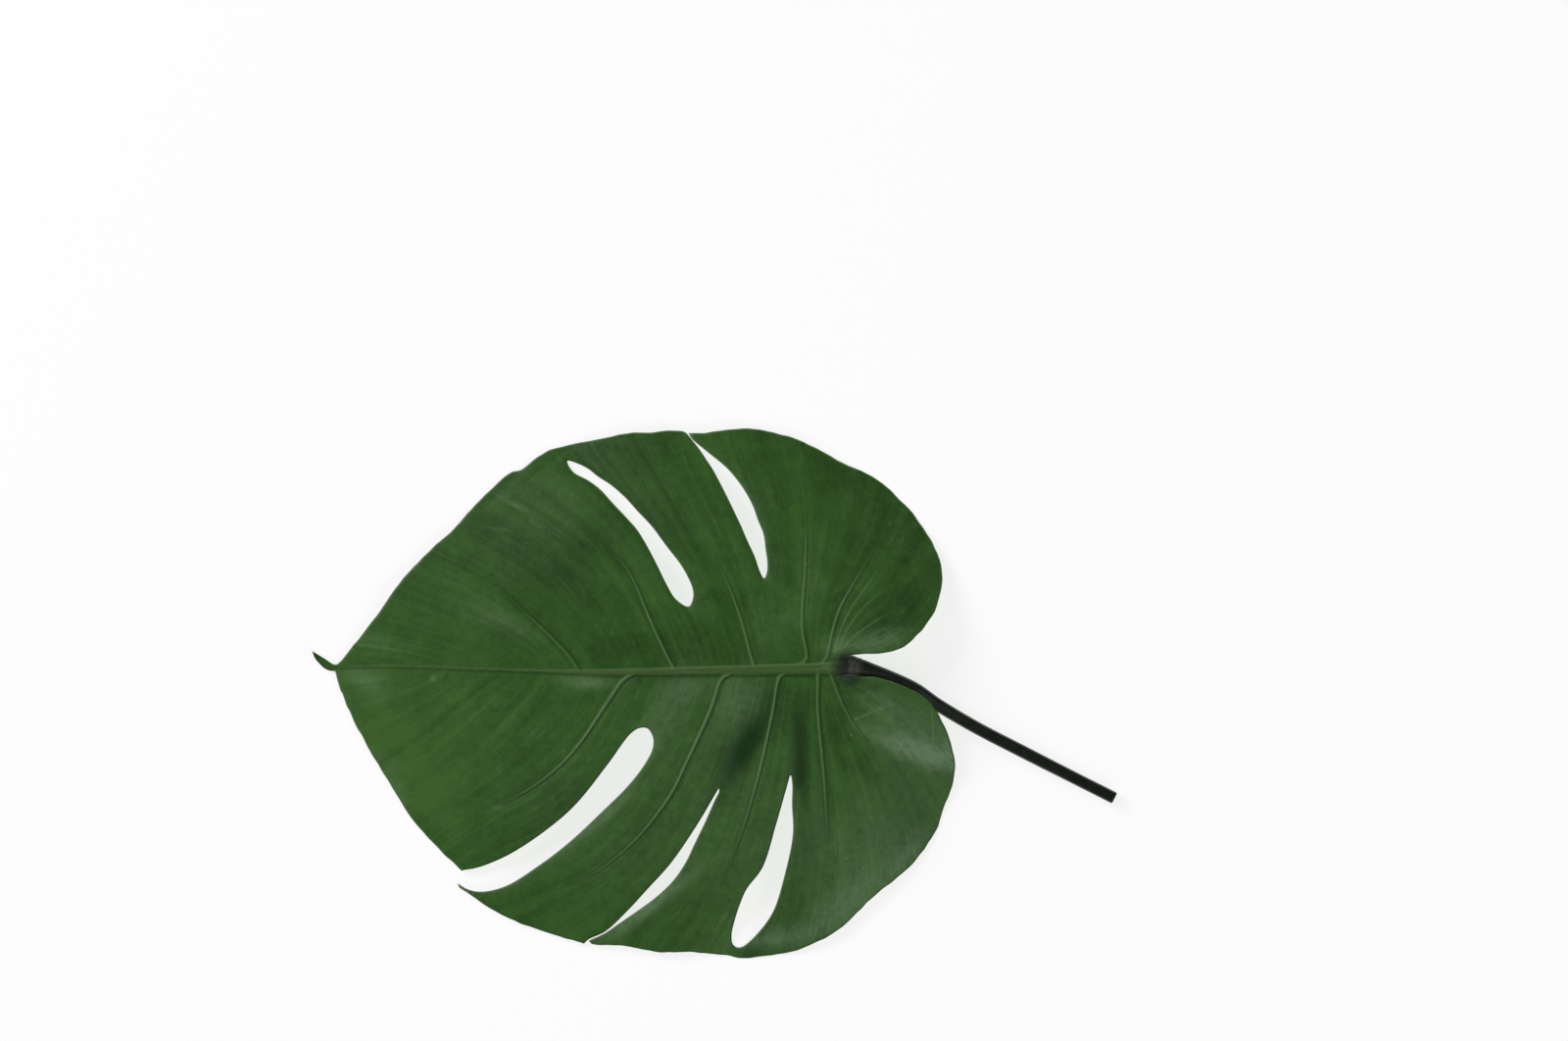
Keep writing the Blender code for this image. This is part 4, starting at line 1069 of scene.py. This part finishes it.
def upper_skin():
    """The upper face: satin deep green, streaked along its fine veins, with paler ribs, painted sheen in
    greyish patches, painted shade in creases and folds, and painted light and shade on the rims and the
    midrib.
    """
    n = Nodes("leaf_upper")
    across, along, main, rib, groove = map(n.value, ("across", "along", "midrib", "rib", "groove"))
    beside, edge, sheen_mask, tone_and_painted_light = map(n.value, ("beside", "edge", "painted_sheen", "tone_and_painted_light"))
    place = n.add("ShaderNodeTexCoord").outputs["Object"]
    bands, streaks, threads, wander = [n.streaks(across, along, *kind)
                                       for kind in (BANDS, STREAKS, THREADS, WANDER)]
    broad, blotch, mottle, grain = [n.noise(place, *kind) for kind in (BROAD, BLOTCH, MOTTLE, GRAIN)]
    off_midrib = n.span(along, *VEIN_START)
    veined = n.plus(n.tint(bands, BANDS_TINT), n.tint(streaks, STREAKS_TINT), n.tint(threads, THREADS_TINT))
    # Lightness: random noise and the listed patches, which hold the skin's own colour and painted light and
    # shade
    light = n.plus(n.tint(broad, BROAD_TINT), n.tint(blotch, BLOTCH_TINT), n.times(veined, off_midrib),
                   n.tint(mottle, MOTTLE_TINT), n.tint(grain, GRAIN_TINT),
                   n.tint(wander, WANDER_TINT), tone_and_painted_light)
    base = n.mix(n.times(light, 1.0, clamp=True), GREEN, GREEN_LIGHT)
    base = n.mix(n.times(light, -1.0, clamp=True), base, GREEN_DARK)
    lines = n.math("PINGPONG", n.times(wander, LINE_COUNT), LINE_FOLD)
    lines = n.times(n.span(lines, *LINE_WIDTH), n.span(bands, *LINE_BANDS))
    lines = n.times(lines, n.span(along, *LINE_START))
    base = n.mix(n.times(lines, LINE_SHARE), base, RIB_GREEN)
    # Painted sheen: greyish clouded patches where light would catch the skin
    cloud = n.times(n.plus(streaks, mottle), 0.5)
    base = n.mix(n.times(sheen_mask, n.span(cloud, *SHEEN_CLOUD), clamp=True), base, SHEEN_GREY)
    # Painted shade in the deepest folds and in the creases beside the ribs
    base = n.mix(n.span(tone_and_painted_light, *FOLD_SHADE), base, SHADE_GREEN)
    base = n.mix(n.times(groove, GROOVE_SHADE_SHARE), base, SHADE_GREEN)
    base = n.mix(n.times(rib, RIB_SHARE), base, RIB_GREEN)
    far = n.add("ShaderNodeSeparateXYZ", {"Vector": place}).outputs["X"]
    lengthwise = n.streaks(beside, far, *MIDRIB_STREAKS)
    body = n.mix(n.span(lengthwise, *MIDDLE_RANGE), MIDRIB_GREEN, MIDRIB_LIGHT)
    # A painted highlight along the midrib's upper border, and painted shade toward its lower side
    border = n.times(n.span(beside, *MIDRIB_HIGHLIGHT_OUT), n.span(beside, *MIDRIB_HIGHLIGHT_IN))
    body = n.mix(n.times(border, MIDRIB_HIGHLIGHT_SHARE), body, RIB_GREEN)
    body = n.mix(n.span(beside, *MIDRIB_PAINTED_SHADE), body, GREEN_DARK)
    base = n.mix(n.span(main, *MIDRIB_EDGE), base, body)
    # Rims: painted light where they face the lamp, painted shade where they face away
    normal = n.add("ShaderNodeNewGeometry").outputs["Normal"]
    facing = n.vector_math("DOT_PRODUCT", normal, RIM_LIGHT_SIDE)
    rim = n.mix(n.span(facing, *RIM_LIGHT_TURN), SHADE_GREEN, RIM_HIGHLIGHT_GREEN)
    base = n.mix(n.span(edge, *RIM_EDGE), base, rim)
    collar = n.vector_math("DISTANCE", place, COLLAR_PLACE)
    base = n.mix(n.span(collar, *COLLAR_REACH), base, COLLAR_GREY)
    cells = n.add("ShaderNodeTexVoronoi", {"Vector": place, "Scale": SPECK_SCALE}).outputs["Distance"]
    chosen = n.span(n.noise(place, *SPECK_FIELDS), *SPECK_CHOICE)
    specks = n.times(n.span(cells, *SPECK_SIZE), chosen)
    base = n.mix(n.times(specks, SPECK_SHARE), base, SPECK)
    rough = n.plus(n.swing(blotch, *UPPER_ROUGHNESS), n.times(sheen_mask, SHEEN_ROUGHNESS))
    veins = n.plus(n.times(bands, BANDS_RELIEF), n.times(streaks, STREAKS_RELIEF),
                   n.times(threads, THREADS_RELIEF))
    height = n.plus(n.times(veins, off_midrib), n.times(main, lengthwise), n.times(grain, GRAIN_RELIEF),
                    n.times(blotch, BLOTCH_RELIEF), n.times(mottle, MOTTLE_RELIEF))
    return n.skin(base, rough, UPPER_SPECULAR, height, UPPER_BUMP)


def lower_skin():
    """The lower face: paler, duller green with pale ribs."""
    n = Nodes("leaf_lower")
    crest = n.math("MAXIMUM", n.value("midrib"), n.value("rib"))
    streaks = n.streaks(n.value("across"), n.value("along"), *STREAKS)
    place = n.add("ShaderNodeTexCoord").outputs["Object"]
    blotch = n.noise(place, *UNDER_BLOTCH)
    light = n.plus(n.swing(streaks, *UNDER_STREAKS_LIGHT), n.swing(blotch, *UNDER_BLOTCH_LIGHT))
    base = n.mix(light, UNDER_DARK, UNDER_GREEN)
    base = n.mix(n.times(crest, UNDER_RIB_SHARE), base, UNDER_RIB)
    height = n.plus(streaks, n.times(n.noise(place, *UNDER_GRAIN), UNDER_GRAIN_RELIEF))
    return n.skin(base, n.swing(blotch, *UNDER_ROUGHNESS), UNDER_SPECULAR, height, UNDER_BUMP)


def stem_skin():
    """The stem: near-black green with a satin shine, greyer at its wrinkled knuckle, that grey drawn on its
    top only as a painted highlight.
    """
    n = Nodes("stem_skin")
    along, turn = n.value("along"), n.value("turn")
    place = n.add("ShaderNodeTexCoord").outputs["Object"]
    mottle = n.noise(place, *STEM_MOTTLE)
    lengthwise, wrinkles, lines = [n.streaks(turn, along, *kind)
                                   for kind in (STEM_STREAKS, WRINKLES, SLEEVE_STREAKS)]
    base = n.mix(n.span(mottle, *STEM_LIGHT_SPAN), STEM_DARK, STEM_LIGHT)
    base = n.mix(n.span(lengthwise, *STEM_DARK_SPAN), base, STEM_DARK)
    knuckle = n.times(n.span(along, *KNUCKLE_GREY), n.span(along, *KNUCKLE_GREY_START))
    knuckle = n.times(knuckle, n.span(wrinkles, *WRINKLE_SPAN))
    # The knuckle's grey wrinkles, on its top only: partly a painted highlight
    base = n.mix(n.times(knuckle, n.span(turn, *KNUCKLE_TOP_HIGHLIGHT)), base, STEM_GREY)
    base = n.mix(n.span(along, *STEM_COLLAR), base, COLLAR_GREY)
    sleeve = n.mix(n.span(lines, *MIDDLE_RANGE), MIDRIB_GREEN, MIDRIB_LIGHT)
    base = n.mix(n.span(along, *SLEEVE_REACH), base, sleeve)
    base = n.mix(n.times(n.value("cut"), n.swing(mottle, *CUT_SPAN)), base, STEM_PITH)
    height = n.plus(n.times(mottle, STEM_RELIEF), n.times(lengthwise, STEM_RELIEF))
    return n.skin(base, n.swing(mottle, *STEM_ROUGHNESS), STEM_SPECULAR, height, STEM_BUMP)


# The floor and the light. Lamps: name, place in metres, side in metres, power in watts.
FLOOR_HALF = 6.0
FLOOR_GREY = (0.38, 0.38, 0.38, 1.0)
FLOOR_GLOW = 0.76
FLOOR_ROUGHNESS = 0.9
FLOOR_SPECULAR = 0.1
WHITE = (1.0, 1.0, 1.0, 1.0)
LAMPS = [
    ("key", (-2.1, 1.6, 1.9), 1.5, 45.0),
    ("fill", (2.1, -1.9, 2.0), 2.0, 30.0),
    ("low", (-1.8, -1.9, 2.0), 2.0, 6.0),
]
ROOM_GLOW = 0.17


def build_floor():
    """A plain white light table, so that the shadows on it stay pale."""
    mesh = bpy.data.meshes.new("table_top")
    corners = [(FLOOR_HALF * x, FLOOR_HALF * y, 0) for x, y in ((-1, -1), (1, -1), (1, 1), (-1, 1))]
    mesh.from_pydata(corners, [], [(0, 1, 2, 3)])
    n = Nodes("table_white")
    n.shader.inputs["Base Color"].default_value = FLOOR_GREY
    n.shader.inputs["Emission Color"].default_value = WHITE
    n.shader.inputs["Emission Strength"].default_value = FLOOR_GLOW
    n.shader.inputs["Roughness"].default_value = FLOOR_ROUGHNESS
    n.shader.inputs["Specular IOR Level"].default_value = FLOOR_SPECULAR
    mesh.materials.append(n.material)
    floor = place_object(mesh, (0.0, 0.0, 0.0))


def light_scene():
    """A soft lamp at the upper left, weaker ones at the lower right and lower left, and a pale room."""
    for name, place, side, power in LAMPS:
        data = bpy.data.lights.new(name, "AREA")
        data.shape = "SQUARE"
        data.size = side
        data.energy = power
        lamp = place_object(data, place)
        lamp.rotation_euler = (-Vector(place)).to_track_quat("-Z", "Y").to_euler()
    world = bpy.data.worlds.new("room")
    world.use_nodes = True
    world.node_tree.nodes["Background"].inputs["Color"].default_value = WHITE
    world.node_tree.nodes["Background"].inputs["Strength"].default_value = ROOM_GLOW
    bpy.context.scene.world = world
    bpy.context.scene.view_settings.view_transform = "Standard"


def place_camera(origin):
    """A camera that looks straight down on the part of the table that the photograph shows."""
    data = bpy.data.cameras.new("photo_camera")
    data.sensor_width = SENSOR_WIDTH
    data.lens = SENSOR_WIDTH * (CAMERA_HEIGHT - BLADE_LEVEL) / (PHOTO_WIDTH * MM)
    place = (origin[0] + PHOTO_CENTRE[0] * MM, origin[1] + PHOTO_CENTRE[1] * MM, CAMERA_HEIGHT)
    bpy.context.scene.camera = place_object(data, place)


def leaf_origin(outline):
    """Where the notch lies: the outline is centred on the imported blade's box."""
    low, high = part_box("leaf_blade")
    middle = (outline.min(axis=0) + outline.max(axis=0)) / 2
    return Vector(((low[0] + high[0]) / 2 - middle[0] * MM, (low[1] + high[1]) / 2 - middle[1] * MM, 0.0))


outline_loops = blade_loops()
notch = leaf_origin(outline_loops[0])
place_camera(notch)
build_blade(outline_loops, notch)
build_stem(notch)
build_floor()
light_scene()
